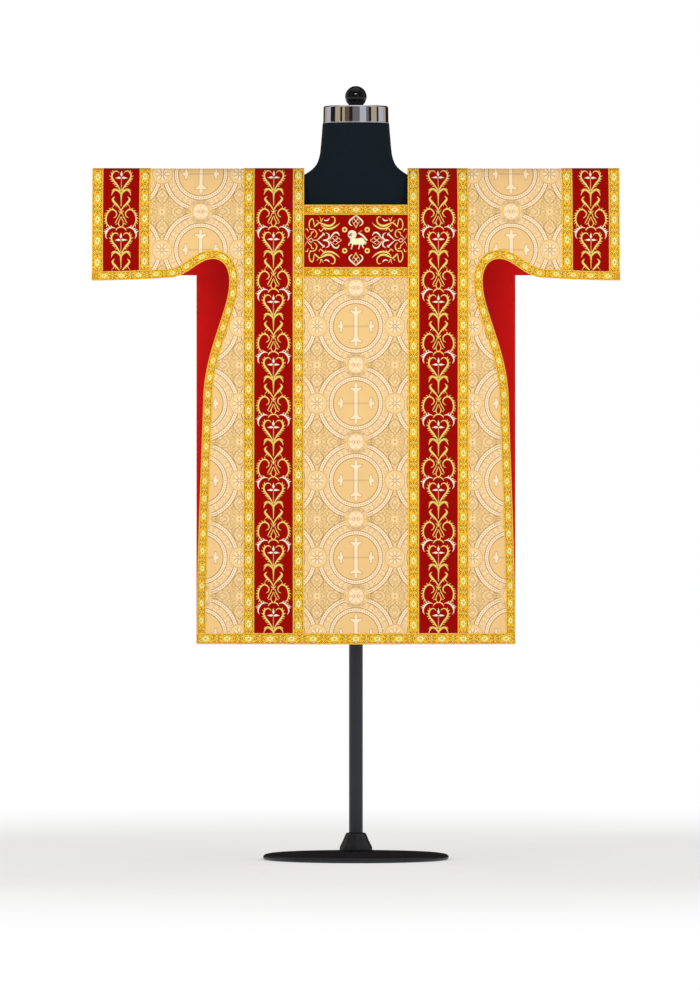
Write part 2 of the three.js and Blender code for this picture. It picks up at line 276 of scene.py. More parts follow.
shoulder_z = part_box("front")[1].z
length = shoulder_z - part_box("front")[0].z
half_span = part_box("front")[1].x
centre_depth = {"front": -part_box("front")[0].y - SEAM / 2, "back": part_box("back")[1].y - SEAM / 2}
neck_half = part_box("neck_galloon_front")[1].x + SEAM
neck_drop = {side: shoulder_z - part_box(f"neck_galloon_{side}")[1].z for side in SIGN}

SWAY = 0.006  # how far the hanging cloth sways in and out at the hem
SWAY_LENGTHS = (0.31, 0.47, 0.173)
SWAY_SHARES = (0.5, 0.35, 0.15)
SWAY_STARTS = {"front": (0.8, 2.1, 4.4), "back": (3.3, 0.4, 1.2)}


def sway(side, x, drop):
    """How far the cloth hangs out of straight."""
    hang = np.clip((drop - ROUNDING_DROP) / (length - ROUNDING_DROP), 0, 1)
    waves = zip(SWAY_LENGTHS, SWAY_SHARES, SWAY_STARTS[side])
    return SWAY * hang * sum(share * np.cos(2 * np.pi * x / wave + start) for wave, share, start in waves)


def drape(side, flat, lift=0.0):
    """Points in the room from flat places on one side of the garment, lifted off the cloth."""
    flat = np.asarray(flat, float)
    x, drop = flat[..., 0], flat[..., 1]
    left = np.clip(1 - drop / ROUNDING_DROP, 0, 1)
    share = (1 - left ** ROUNDING_POWER) ** (1 / ROUNDING_POWER)
    turn = np.pi / 2 * x / half_span
    swell = centre_depth[side] - CUFF_DEPTH[side]
    full = CUFF_DEPTH[side] + swell * np.cos(turn)
    slope = (left / np.maximum(share, 1e-6)) ** (ROUNDING_POWER - 1) / ROUNDING_DROP
    across = swell * np.pi / 2 / half_span * np.sin(turn) * share
    normal = np.stack([across, np.full_like(x, SIGN[side]), full * slope], -1)
    normal /= np.linalg.norm(normal, axis=-1, keepdims=True)
    depth = SEAM / 2 + full * share + sway(side, x, drop)
    point = np.stack([x, SIGN[side] * depth, shoulder_z - drop], -1)
    return point + normal * np.broadcast_to(lift, x.shape)[..., None]


def fall_rows(top, bottom, step=0.012):
    """Drops for a mesh's rows, close together where the cloth turns over the shoulder."""
    turn = np.linspace(0, np.pi / 2, 27)
    rounded = ROUNDING_DROP * (1 - np.clip(np.cos(turn), 0, 1) ** (2 / ROUNDING_POWER))
    rows = np.concatenate([rounded, np.arange(ROUNDING_DROP + step, length, step)])
    inner = rows[(rows > top + 0.1 * step) & (rows < bottom - 0.1 * step)]
    return np.concatenate([[top], inner, [bottom]])


def bezier(start, pull_a, pull_b, end, count):
    """Places along one bend, from its start to its end."""
    t = np.linspace(0, 1, count + 1)[:, None]
    start, pull_a, pull_b, end = (np.array(p, float) for p in (start, pull_a, pull_b, end))
    return ((1 - t) ** 3 * start + 3 * t * (1 - t) ** 2 * pull_a
            + 3 * t ** 2 * (1 - t) * pull_b + t ** 3 * end)


half_body = {side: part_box(f"hem_galloon_{side}")[1].x for side in SIGN}
BACK_SLEEVE_DROP = 0.245  # the back sleeve's lower edge

# The front's edge from the cuff round the underarm to the hem: start, two pulls, end, number of steps.
FRONT_EDGE = (
    ((half_span, 0.261), (0.540, 0.261), (0.480, 0.258), (0.430, 0.2555), 26),
    ((0.430, 0.2555), (0.385, 0.252), (0.365, 0.212), (0.329, 0.212), 18),
    ((0.329, 0.212), (0.306, 0.212), (0.2915, 0.233), (0.2915, 0.263), 12),
    ((0.2915, 0.263), (0.2915, 0.331), (0.348, 0.420), (0.3515, 0.530), 40),
    ((0.3515, 0.530), (0.356, 0.680), (half_body["front"], 0.900), (half_body["front"], length), 76),
)


def side_edge(side):
    """The right-hand edge of one side, from the cuff to the hem, as closely spaced flat places."""
    if side == "front":
        bends = [bezier(*bend)[1:] for bend in FRONT_EDGE]
        return np.concatenate([[FRONT_EDGE[0][0]], *bends])
    corner = (half_body["back"], BACK_SLEEVE_DROP)
    sleeve = np.linspace((half_span, BACK_SLEEVE_DROP), corner, 33)
    return np.concatenate([sleeve, np.linspace(corner, (half_body["back"], length), 101)[1:]])


def along(start, end, step=0.008):
    """Evenly spaced places from start up to, but without, end."""
    count = max(1, int(math.ceil(math.dist(start, end) / step)))
    return np.linspace(start, end, count, endpoint=False)


def panel_outline(side):
    """The whole outline of the front or the back, from the neck's right corner round and back to it."""
    edge = side_edge(side)
    over = fall_rows(0.0, edge[0][1])
    cuff = np.stack([np.full(len(over) - 1, half_span), over[:-1]], -1)
    right = np.concatenate([along((neck_half, 0.0), (half_span, 0.0)), cuff, edge])
    left = right[::-1] * (-1, 1)
    drop = neck_drop[side]
    down = fall_rows(0.0, drop)[1:-1]
    neck_left = np.stack([np.full(len(down), -neck_half), down], -1)
    neck = np.concatenate([neck_left, along((-neck_half, drop), (neck_half, drop)), [(neck_half, drop)],
                           neck_left[::-1] * (-1, 1)])
    hem = along(right[-1], left[0])[1:]
    return np.concatenate([right, hem, left, neck])


def inside(points, outline, margin):
    """Which points lie inside an outline and at least a margin from it."""
    a, b = outline, np.roll(outline, -1, 0)
    x, y = points[:, 0, None], points[:, 1, None]
    crosses = (a[:, 1] > y) != (b[:, 1] > y)
    rise = np.where(b[:, 1] == a[:, 1], 1.0, b[:, 1] - a[:, 1])
    odd = (crosses & (x < (b[:, 0] - a[:, 0]) * (y - a[:, 1]) / rise + a[:, 0])).sum(1) % 2 == 1
    run = b - a
    size = np.maximum((run ** 2).sum(1), 1e-12)
    t = np.clip(((x - a[:, 0]) * run[:, 0] + (y - a[:, 1]) * run[:, 1]) / size, 0, 1)
    gap = np.hypot(x - a[:, 0] - t * run[:, 0], y - a[:, 1] - t * run[:, 1]).min(1)
    return odd & (gap > margin), gap


def fill(outline, grid, margin):
    """Flat places and triangles that fill an outline, with the grid's points inside it."""
    kept, _ = inside(grid, outline, margin)
    points = [Vector(p) for p in np.concatenate([outline, grid[kept]])]
    count = len(outline)
    ring = [(i, (i + 1) % count) for i in range(count)]
    found, _, faces, *_ = delaunay_2d_cdt(points, ring, [], 1, 1e-7)
    flat = np.array([(p.x, p.y) for p in found])
    triangles = np.array(faces)
    a, b, c = (flat[triangles[:, i]] for i in range(3))
    turned = (b - a)[:, 0] * (c - a)[:, 1] - (b - a)[:, 1] * (c - a)[:, 0] < 0
    triangles[turned] = triangles[turned][:, ::-1]
    return flat, triangles


def shell(name, side, flat, faces, low, high, outer, inner=None, uv=None):
    """A wall of cloth between two lifts, from flat places and faces, with its flat places as its UV map."""
    count = len(flat)
    faces = np.asarray(faces)
    if side == "front":
        faces = faces[:, ::-1]
    points = np.concatenate([drape(side, flat, high), drape(side, flat, low)])
    edges = np.concatenate([np.stack([faces[:, i], np.roll(faces, -1, 1)[:, i]], -1)
                            for i in range(faces.shape[1])])
    twins = {(b, a) for a, b in edges.tolist()}
    rim = [(a, b) for a, b in edges.tolist() if (a, b) not in twins]
    walls = [(b, a, a + count, b + count) for a, b in rim]
    mesh = bpy.data.meshes.new(name)
    mesh.from_pydata(points.tolist(), [], faces.tolist() + (faces[:, ::-1] + count).tolist() + walls)
    map_places(mesh, np.tile(flat if uv is None else uv, (2, 1)))
    lower = np.zeros(len(mesh.polygons), int)
    if inner:
        lower[len(faces):2 * len(faces)] = 1
    mesh.polygons.foreach_set("material_index", lower)
    smooth(mesh, 50)
    return put(name, mesh, *([outer, inner] if inner else [outer]))


def smooth(mesh, sharp_angle=180):
    """Shades a mesh smoothly, apart from edges sharper than an angle in degrees."""
    mesh.polygons.foreach_set("use_smooth", np.ones(len(mesh.polygons), bool))
    if sharp_angle < 180:
        mesh.set_sharp_from_angle(angle=math.radians(sharp_angle))


def map_places(mesh, places):
    """Writes one (u, v) for each vertex into the mesh's UV map."""
    loops = np.zeros(len(mesh.loops), int)
    mesh.loops.foreach_get("vertex_index", loops)
    mesh.uv_layers.new(name="cloth").data.foreach_set("uv", np.asarray(places)[loops].ravel())


def sheet_of(piece, slot, *nodes, flat, area=None, rests_on=(), with_pieces=()):
    """Hangs a cut piece of cloth from the root, and hides the parts that it stands for."""
    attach(piece, "root")
    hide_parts(*nodes)


def distances(points):
    """How far each point of a line is from its first, along the line."""
    return np.concatenate([[0], np.cumsum(np.linalg.norm(np.diff(points, axis=0), axis=1))])


def line_length(points):
    """How long a line is."""
    return float(distances(points)[-1])


def fall_length(side, x, top, bottom):
    """How long the cloth is, along itself, between two drops at one x."""
    rows = fall_rows(top, bottom, step=0.004)
    return line_length(drape(side, np.stack([np.full_like(rows, x), rows], -1)))


# The brocade's weave: crosses in pearled roundels, set square, with rosettes between them and small
# foliage all over the rest. Sizes in millimetres, as the weaver's draft has them.
REPEAT = (179.0, 177.3)
FIRST_ROW = 13.5
DISC = 51.2
PEARLS_IN = (53.0, 60.8)
PEARLS_OUT = (79.6, 88.0)
RAGGED = 1.5  # how far a woven edge strays from a clean line


def sine(a):
    """The sine of an angle in radians."""
    return work_out("SINE", a)


def wrap(a, half):
    """a, brought back between -half and half by whole repeats."""
    return work_out("WRAP", a, half, -half)


def portion(a, whole):
    """a as a share of the whole, held between 0 and 1."""
    return work_out("DIVIDE", a, whole, clamp=True)


def most(first, *others):
    """The greatest of some masks, which is all of them laid together."""
    for other in others:
        first = work_out("MAXIMUM", first, other)
    return first


def hypot(a, b):
    """The length of (a, b)."""
    both = get(a.tree, "ShaderNodeCombineXYZ", 0, X=a, Y=b)
    return get(a.tree, "ShaderNodeVectorMath", "Value", {"operation": "LENGTH"}, _0=both)


def below(a, edge, soft=0.5):
    """1 where a is under the edge and 0 where it is over, with a soft step."""
    tree = (a if isinstance(a, Number) else edge).tree
    return get(tree, "ShaderNodeMapRange", "Result", {"interpolation_type": "SMOOTHSTEP"}, Value=a,
               From_Min=edge - soft, From_Max=edge + soft, To_Min=1.0, To_Max=0.0)


def stripe(a, centre, half, soft=0.4):
    """1 where a is within half of the centre."""
    return below(abs(a - centre), half, soft)


def new_group(name, results, *numbers):
    """A node group with the named results: its tree, and the place and the numbers that come into it."""
    tree = bpy.data.node_groups.new(name, "ShaderNodeTree")
    tree.interface.new_socket("Place", in_out="INPUT", socket_type="NodeSocketVector")
    for label in numbers:
        tree.interface.new_socket(label, in_out="INPUT", socket_type="NodeSocketFloat")
    for label in results:
        tree.interface.new_socket(label, in_out="OUTPUT", socket_type="NodeSocketFloat")
    come = tree.nodes.new("NodeGroupInput").outputs
    return tree, *(Number(tree, come[label]) for label in ("Place", *numbers))


def use_group(tree, group, **inputs):
    """A group's results, in order, for what is put into it."""
    made = node(tree, "ShaderNodeGroup", {"node_tree": group}, **inputs)
    return [Number(tree, output) for output in made.outputs]


def rgb(red, green, blue):
    """A colour from its everyday 0 to 255 values."""
    return (*[(v / 255) ** 2.2 for v in (red, green, blue)], 1.0)


def brocade_weave():
    """A group that turns flat places into the brocade's masks: pale figure, outlines and plain disc."""
    tree, spot = new_group("brocade_weave", ("Figure", "Outline", "Disc"))
    clean, stray = apart(spot), apart(noise(spot, 800.0, 1.0, "Color"))
    x, y = (clean[axis] * 1000.0 + (stray[axis] - 0.5) * RAGGED for axis in (0, 1))
    y = y - FIRST_ROW
    half_x, half_y = REPEAT[0] / 2, REPEAT[1] / 2
    a, b = wrap(x, half_x), wrap(y, half_y)
    side_a, side_b = wrap(x + half_x, half_x), wrap(y + half_y, half_y)
    wide, up = abs(a), abs(b)
    side_wide, side_up = abs(side_a), abs(side_b)
    r = hypot(a, b)
    turn = angle(b, a)
    disc = below(r, DISC)

    # the cross: an upright with a three-leaved head and foot, and a thin arm with a small leaf at each end
    def fleur(out, across, margin, root, reach, power, spread, stem, top, tilt, bud):
        opened = portion(out - root, reach) ** power
        leaf = below(across, opened * spread + (stem + margin))
        leaf = leaf * below(out, top + margin + across * tilt)
        leaf = leaf * below(root - margin, out) * below(across, spread + stem - 1.0 + margin)
        lobe = hypot(out - (root + reach), (across - (spread + stem - 3.2)) * 0.75)
        leaf = most(leaf, below(lobe, 2.5 + margin))
        middle, half_tall, half_wide = bud
        far = portion(abs(out - middle), half_tall + margin)
        tip = below(across, (1.0 - far ** 1.7) * (half_wide + margin))
        return most(leaf, tip * below(far, 0.98, 0.02))

    def cross(margin):
        ripple = sine(up * 1.9) * 0.25
        post = below(wide, ripple + (3.9 + margin)) * below(up, 36.0 + margin)
        head = fleur(up, wide, margin, root=24.6, reach=9.8, power=1.6, spread=9.2, stem=3.9, top=34.8,
                     tilt=0.18, bud=(41.0, 7.0, 3.8))
        end = fleur(wide, up, margin, root=29.5, reach=5.2, power=1.15, spread=11.8, stem=1.0, top=38.4,
                    tilt=-0.22, bud=(38.6, 4.6, 3.6))
        return most(post, head, end)

    cross_figure = cross(0.0) * disc
    cross_rim = cross(1.5) * disc - cross_figure
    arm = stripe(up, 1.0, 0.6) * below(wide, 30.0)

    # two rings of pearls between thin lines
    def pearls(ring, count):
        middle = sum(ring) / 2
        body = stripe(r, middle, (ring[1] - ring[0]) / 2)
        step = 2 * math.pi * middle / count
        round_it = wrap(turn * (count / (2 * math.pi)), 0.5) * step
        gap = below(hypot(round_it, r - middle), 1.15, 0.5)
        rim = most(stripe(r, ring[0] - 0.9, 0.9), stripe(r, ring[1] + 0.9, 0.9))
        return body, gap, rim

    inner, inner_gap, inner_rim = pearls(PEARLS_IN, 64)
    outer, outer_gap, outer_rim = pearls(PEARLS_OUT, 92)
    band = stripe(r, (PEARLS_IN[1] + PEARLS_OUT[0]) / 2, (PEARLS_OUT[0] - PEARLS_IN[1]) / 2)

    # small foliage, turned over in every quarter: thin curling outlines and paler leaves between them
    def foliage(u, v, scale, curls, seed):
        bed = get(tree, "ShaderNodeCombineXYZ", 0, X=u, Y=v, Z=seed)
        wave = sine(noise(bed, scale, 1.0, Distortion=0.6) * (2 * math.pi * curls))
        cells = get(tree, "ShaderNodeTexVoronoi", "Distance", {"feature": "DISTANCE_TO_EDGE"},
                    Vector=bed, Scale=1.9 * scale, Randomness=0.9)
        return most(below(0.6, wave, 0.25), below(cells, 0.06, 0.04) * 0.4), below(wave, -0.5, 0.3)

    veins, leaves = foliage(side_wide, side_up, scale=0.085, curls=5.4, seed=3.0)
    round_leaf = abs(wrap(turn, math.pi / 12)) * 62.0
    band_veins, band_leaves = foliage(round_leaf, r - 60.0, scale=0.1, curls=3.6, seed=7.4)

    # pointed arches over and under the middle of each gap, ribbed outside, rounder ones beside it, and in
    # it a small flower with dark eyes
    def arch(out, across, middle, tall, broad, bow):
        return (across / broad) ** bow[0] + (abs(out - middle) / tall) ** bow[1]

    tall_shape = arch(side_up, side_wide, middle=35.0, tall=18.5, broad=14.8, bow=(1.1, 1.6))
    wide_shape = arch(side_wide, side_up, middle=38.0, tall=17.0, broad=13.5, bow=(1.9, 1.9))
    flank = below(side_up, 27.0, 2.0) * below(7.0, side_wide, 1.5)
    ribs = flank * most(stripe(tall_shape, 1.62, 0.08, 0.06), stripe(tall_shape, 2.3, 0.09, 0.07) * 0.8)
    arches = most(stripe(tall_shape, 1.0, 0.08, 0.05), stripe(wide_shape, 1.0, 0.1, 0.06) * 0.8,
                  stripe(tall_shape, 0.4, 0.07, 0.05) * 0.5, stripe(wide_shape, 0.3, 0.09, 0.05) * 0.6,
                  ribs * 0.85)
    in_arches = most(below(tall_shape, 0.9, 0.08), below(wide_shape, 0.85, 0.08))
    gap_r = hypot(side_a, side_b)
    gap_leaf = abs(wrap(angle(side_b, side_a), math.pi / 8)) * gap_r
    gap_flower = below(gap_leaf, sine(gap_r * (math.pi / 11.0)) * 2.1) * stripe(gap_r, 6.5, 3.8)
    gap_eyes = most(below(gap_r, 2.2, 0.8), below(hypot(side_wide, side_up - 7.4), 1.4, 0.6),
                    below(hypot(side_wide - 17.0, side_up - 5.0), 1.3, 0.6))

    # the rosettes left and right of each roundel
    rose_r = hypot(side_a, b)
    rose_leaf = abs(wrap(angle(b, side_a), math.pi / 8)) * rose_r
    grown = portion(rose_r - 3.0, 14.6) ** 1.45
    petal_edge = sine(grown * math.pi) * 3.1
    in_petal = stripe(rose_r, 10.3, 7.3)
    rosette = most(below(rose_leaf, petal_edge) * in_petal, below(rose_r, 2.2))
    rose_rim = most(stripe(rose_r, 23.0, 0.9) * 0.65, stripe(rose_r, 3.6, 0.7) * 0.8,
                    stripe(rose_leaf, petal_edge + 0.9, 0.5) * in_petal)
    rose_ground = below(rose_r, 24.4)

    # the four-leaved badges above and below it, with a shaded fan on each side
    badge_r = hypot(a, side_b)
    four = below(hypot(wide - 7.9, side_up - 7.9), 7.5)
    notch = below(abs(wide - side_up), 0.6, 0.4)
    off_knot = hypot(wide - 6.4, side_up)
    knots = below(off_knot, 2.0)
    badge_rim = most(stripe(badge_r, 19.4, 0.8) * 0.6, notch * four * 0.8, stripe(off_knot, 2.9, 0.7))
    badge_ground = below(badge_r, 20.6)
    four = four * below(badge_r, 17.8)
    halo = stripe(badge_r, 24.9, 4.3, 1.4) * below(wide * 0.6, side_up, 5.0)
    rays = stripe(sine(angle(side_b, a) * 34.0), 1.0, 0.6, 0.3)
    fan = rays * stripe(badge_r, 33.0, 9.0, 2.0) * below(side_up, wide * 0.42, 1.5)

    # what lies over what
    clear = 1.0 - most(rose_ground, badge_ground)
    beyond = (1.0 - below(r, PEARLS_OUT[1] + 1.0)) * clear
    ring_clear = clear * (1.0 - below(badge_r, 28.0))
    figure_parts = (
        cross_figure,
        inner * clear * 0.86,
        outer * ring_clear * 0.86,
        band * (band_leaves * 0.3 + 0.28) * clear,
        beyond * (leaves * 0.26 + in_arches * 0.12),
        gap_flower * beyond * 0.24,
        rosette * 0.86,
        four * 0.9,
        knots * 0.8,
    )
    off_rings = 1.0 - below(r, PEARLS_IN[1])
    small_outlines = (
        band * band_veins * clear * 0.3,
        beyond * (1.0 - below(gap_r, 8.0, 1.5)) * veins * 0.42,
        beyond * most(arches * 0.72, gap_eyes * 0.6),
    )
    outline_parts = (
        cross_rim * 0.42,
        arm * disc * 0.4,
        inner_rim * clear * 0.8,
        outer_rim * ring_clear * 0.8,
        *small_outlines,
        rose_rim * 0.6,
        badge_rim * badge_ground * 0.6,
        halo * off_rings * (veins * 0.35 + 0.2),
        fan * off_rings * 0.45,
    )
    dots = most(inner_gap * clear, outer_gap * ring_clear)
    figure = most(*figure_parts) * (1.0 - dots * 0.9) * (1.0 - most(*small_outlines) * 0.8)
    outline = most(*outline_parts, dots * 0.75)
    node(tree, "NodeGroupOutput", Figure=portion(figure, 1.0), Outline=portion(outline, 1.0), Disc=disc)
    return tree


def cloth_weave():
    """A group that gives the fine rib of woven cloth: a height and a slight unevenness of shade."""
    tree, spot, threads = new_group("cloth_weave", ("Height", "Shade"), "Threads per metre")
    warp, weft = (way * threads * (2 * math.pi) for way in apart(spot)[:2])
    uneven, slubs = noise(spot, 38.0, 5.0), noise(spot, 420.0, 2.0)
    node(tree, "NodeGroupOutput", Height=sine(warp + weft * 0.5) * 0.3 + sine(weft) * 0.2 + slubs * 0.5,
         Shade=(uneven - 0.5) * 0.6 + (slubs - 0.5) * 0.5 + 0.5)
    return tree


def cloth_places(tree):
    """The flat places of the cloth's own points, from its UV map."""
    return get(tree, "ShaderNodeUVMap", 0, {"uv_map": "cloth"})


def toned(colour, tone):
    """A colour, darker or lighter as its tone is under or over 1."""
    return get(tone.tree, "ShaderNodeHueSaturation", 0, Color=colour, Value=tone)


def bumped(height, strength, distance):
    """The surface's direction where it rises and falls with a height."""
    return get(height.tree, "ShaderNodeBump", 0, Strength=strength, Distance=distance, Height=height)


def end_material(tree, **inputs):
    """Gives a material its one surface."""
    node(tree, "ShaderNodeOutputMaterial", Surface=get(tree, "ShaderNodeBsdfPrincipled", 0, **inputs))


brocade_group, weave_group = brocade_weave(), cloth_weave()
BROCADE_GROUND = rgb(236, 198, 134)
BROCADE_FIGURE = rgb(249, 218, 182)
BROCADE_OUTLINE = rgb(130, 90, 34)
BROCADE_DISC = rgb(228, 188, 126)


def brocade_material():
    material, tree = new_material("gold_brocade")
    places = cloth_places(tree)
    figure, outline, disc = use_group(tree, brocade_group, Place=places)
    rib, shade = use_group(tree, weave_group, Place=places, Threads_per_metre=900.0)
    colour = blend(disc, BROCADE_GROUND, BROCADE_DISC)
    colour = blend(figure, colour, BROCADE_FIGURE)
    colour = blend(outline, colour, BROCADE_OUTLINE)
    height = figure + outline * -0.6 + rib * 0.22
    end_material(tree, Base_Color=toned(colour, shade * 0.16 + 0.92), Roughness=0.56 - figure * 0.14,
                 Normal=bumped(height, 0.5, 0.0006), Specular_IOR_Level=0.25)
    return material


def red_material(name, colour, threads, rough):
    """A plain red cloth, whose fine rib and slight unevenness follow its weave."""
    material, tree = new_material(name)
    rib, shade = use_group(tree, weave_group, Place=cloth_places(tree), Threads_per_metre=threads)
    end_material(tree, Base_Color=toned(colour, shade * 0.3 + 0.85), Roughness=shade * 0.2 + (rough - 0.1),
                 Normal=bumped(rib, 0.4, 0.0004), Specular_IOR_Level=0.03)
    return material


brocade = brocade_material()
lining_red = red_material("red_lining_satin", rgb(192, 28, 27), threads=700.0, rough=0.5)

PANEL_WALL = 0.0012
PANEL_GRID = 0.011
NEAR_EDGE = 0.35 * PANEL_GRID  # no point of the grid is kept that is nearer the outline
MEASURED_AT = 0.2  # the x at which a panel's length is measured
panel_rows = fall_rows(0.0, length, PANEL_GRID)
panel_columns = np.arange(-half_span, half_span, PANEL_GRID)
panel_grid = np.stack(np.meshgrid(panel_columns, panel_rows), -1).reshape(-1, 2)

for side in SIGN:
    flat, faces = fill(panel_outline(side), panel_grid, NEAR_EDGE)
    panel = shell(f"{side}_brocade", side, flat, faces, -PANEL_WALL, 0.0, brocade, lining_red)
    a, b, c = (flat[faces[:, i]] for i in range(3))
    cut = float(np.abs((b - a)[:, 0] * (c - a)[:, 1] - (b - a)[:, 1] * (c - a)[:, 0]).sum() / 2)
    tall = fall_length(side, MEASURED_AT, 0.0, length)
    sheet_of(panel, "brocade", side, flat=(2 * half_span, tall), area=cut * tall / length,
             rests_on=["form_torso"])


# ------------------------------------------------------------------ the back's lining
# Plain bright red satin, cut like the back and sewn to it round the edge. It shows at both sides, past
# the front's curved edge.

LINING_GAP = 0.0003
LINING_WALL = 0.0007


def light_only(light, piece):
    """Lets a lamp light one piece alone."""
    only = bpy.data.collections.new(f"{light.name}_lights")
    only.objects.link(piece)
    light.light_linking.receiver_collection = only


flat, faces = fill(panel_outline("back"), panel_grid, NEAR_EDGE)
lining_top = -PANEL_WALL - LINING_GAP
lining = shell("back_lining_satin", "back", flat, faces, lining_top - LINING_WALL, lining_top, lining_red)
sheet_of(lining, "red_lining", "back_lining", flat=(2 * half_span, tall), area=cut * tall / length,
         rests_on=["form_torso"])
light_only(low_lamp, lining)


# ------------------------------------------------------------------ clavi and cuff bands
# Red satin bands, backed and sewn down along both edges. Two run from the hem over each shoulder, front
# and back, and one goes round each sleeve near its end.

HANDS = ("right", "left")
BAND_LOW, BAND_HIGH = 0.0001, 0.0009
SEWN_GAP = 0.00015  # half of the hairline between two pieces that are sewn edge to edge
red_satin = red_material("red_satin", rgb(146, 15, 9), threads=800.0, rough=0.5)


def strip(x0, x1, top, bottom, step=0.008):
    """Flat places and faces of an upright rectangle of cloth."""
    rows = fall_rows(top, bottom)
    columns = np.linspace(x0, x1, max(2, int(math.ceil((x1 - x0) / step)) + 1))
    flat = np.stack(np.meshgrid(columns, rows), -1).reshape(-1, 2)
    wide = len(columns)
    start = (np.arange(len(rows) - 1)[:, None] * wide + np.arange(wide - 1)).ravel()
    return flat, np.stack([start, start + 1, start + wide + 1, start + wide], -1)


def ways(line):
    """For each point of a flat line, the way that it runs and the way to one side of it."""
    run = np.gradient(line, axis=0)
    run /= np.linalg.norm(run, axis=1, keepdims=True)
    return run, np.stack([-run[:, 1], run[:, 0]], -1)


EDGE_GALLOON = 0.021  # the border's width along the open edges
SLEEVE_FROM = 0.44  # the x past which the edge is the sleeve's alone


def foot_line(side, inset):
    """Gives the drop, at any x of the sleeve, of the line a given way inside its lower edge."""
    edge = side_edge(side)
    sleeve = edge[edge[:, 0] > SLEEVE_FROM]
    line = (sleeve + ways(sleeve)[1] * inset)[::-1]
    return lambda x: np.interp(np.abs(x), line[:, 0], line[:, 1])


class Band:
    """Where one red band lies: its garment side, its middle, its half width and its foot."""

    def __init__(self, part, side, hand):
        self.node = f"{part}_{side}_{hand}"
        low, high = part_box(self.node)
        self.side, self.middle, self.half = side, (low.x + high.x) / 2, (high.x - low.x) / 2
        clear = foot_line(side, EDGE_GALLOON + 2 * SEWN_GAP)
        self.foot = clear if part == "cuff" else lambda x: np.full(np.shape(x), shoulder_z - low.z)


bands = [Band(part, side, hand) for part in ("clavus", "cuff") for side in SIGN for hand in HANDS]
band_sheets = []
for band in bands:
    full = float(np.max(band.foot(np.array([band.middle - band.half, band.middle + band.half]))))
    flat, faces = strip(band.middle - band.half, band.middle + band.half, 0.0, full)
    flat[:, 1] *= band.foot(flat[:, 0]) / full
    piece = shell(f"{band.node}_satin", band.side, flat, faces, BAND_LOW, BAND_HIGH, red_satin)
    band_sheets.append((piece, band, (2 * band.half, fall_length(band.side, band.middle, 0.0, full))))


# ------------------------------------------------------------------ embroidery on the bands
# A vine of gold, cream and rose silk in raised satin stitch. One figure, a heart that holds a small cross,
# a lily, and paired scrolls, is worked again and again from the shoulder down.

GOLD, LEAF, CREAM, ROSE = rgb(252, 212, 104), rgb(230, 202, 88), rgb(254, 236, 202), rgb(232, 140, 96)
VINE_REPEAT = 0.1443
FIRST_HEART = 0.0232  # drop of the first small cross
STITCH_STEP = 1.5  # millimetres between the points of a stroke's line
FLATTEST, FULLEST = 0.22, 0.95  # how high a stroke stands, from the finest to the widest
SECTION = ((-1.0, 0.0), (-0.62, 0.78), (0.0, 1.0), (0.62, 0.78), (1.0, 0.0))


def smooth_line(knots, step):
    """A smooth line through the knots, in even steps."""
    knots = np.array(knots, float)
    ends = np.concatenate([[2 * knots[0] - knots[1]], knots, [2 * knots[-1] - knots[-2]]])
    t = np.linspace(0, 1, 9)[:-1, None]
    fine = [0.5 * (2 * b + (c - a) * t + (2 * a - 5 * b + 4 * c - d) * t ** 2
                   + (3 * b - a - 3 * c + d) * t ** 3)
            for a, b, c, d in zip(ends, ends[1:], ends[2:], ends[3:])]
    fine = np.concatenate([*fine, knots[-1:]])
    at = distances(fine)
    even = np.linspace(0, at[-1], max(3, int(round(at[-1] / step)) + 1))
    return np.stack([np.interp(even, at, fine[:, 0]), np.interp(even, at, fine[:, 1])], -1)


def tube_faces(rings, around, turned=False):
    """The faces of a tube through rings of points, one ring after another, with its ends closed."""
    faces = [tuple(range(around)), tuple((rings - 1) * around + j for j in reversed(range(around)))]
    for a in range(0, (rings - 1) * around, around):
        b = a + around
        faces += [(a + j, b + j, b + (j + 1) % around, a + (j + 1) % around) for j in range(around)]
    return [face[::-1] for face in faces] if turned else faces


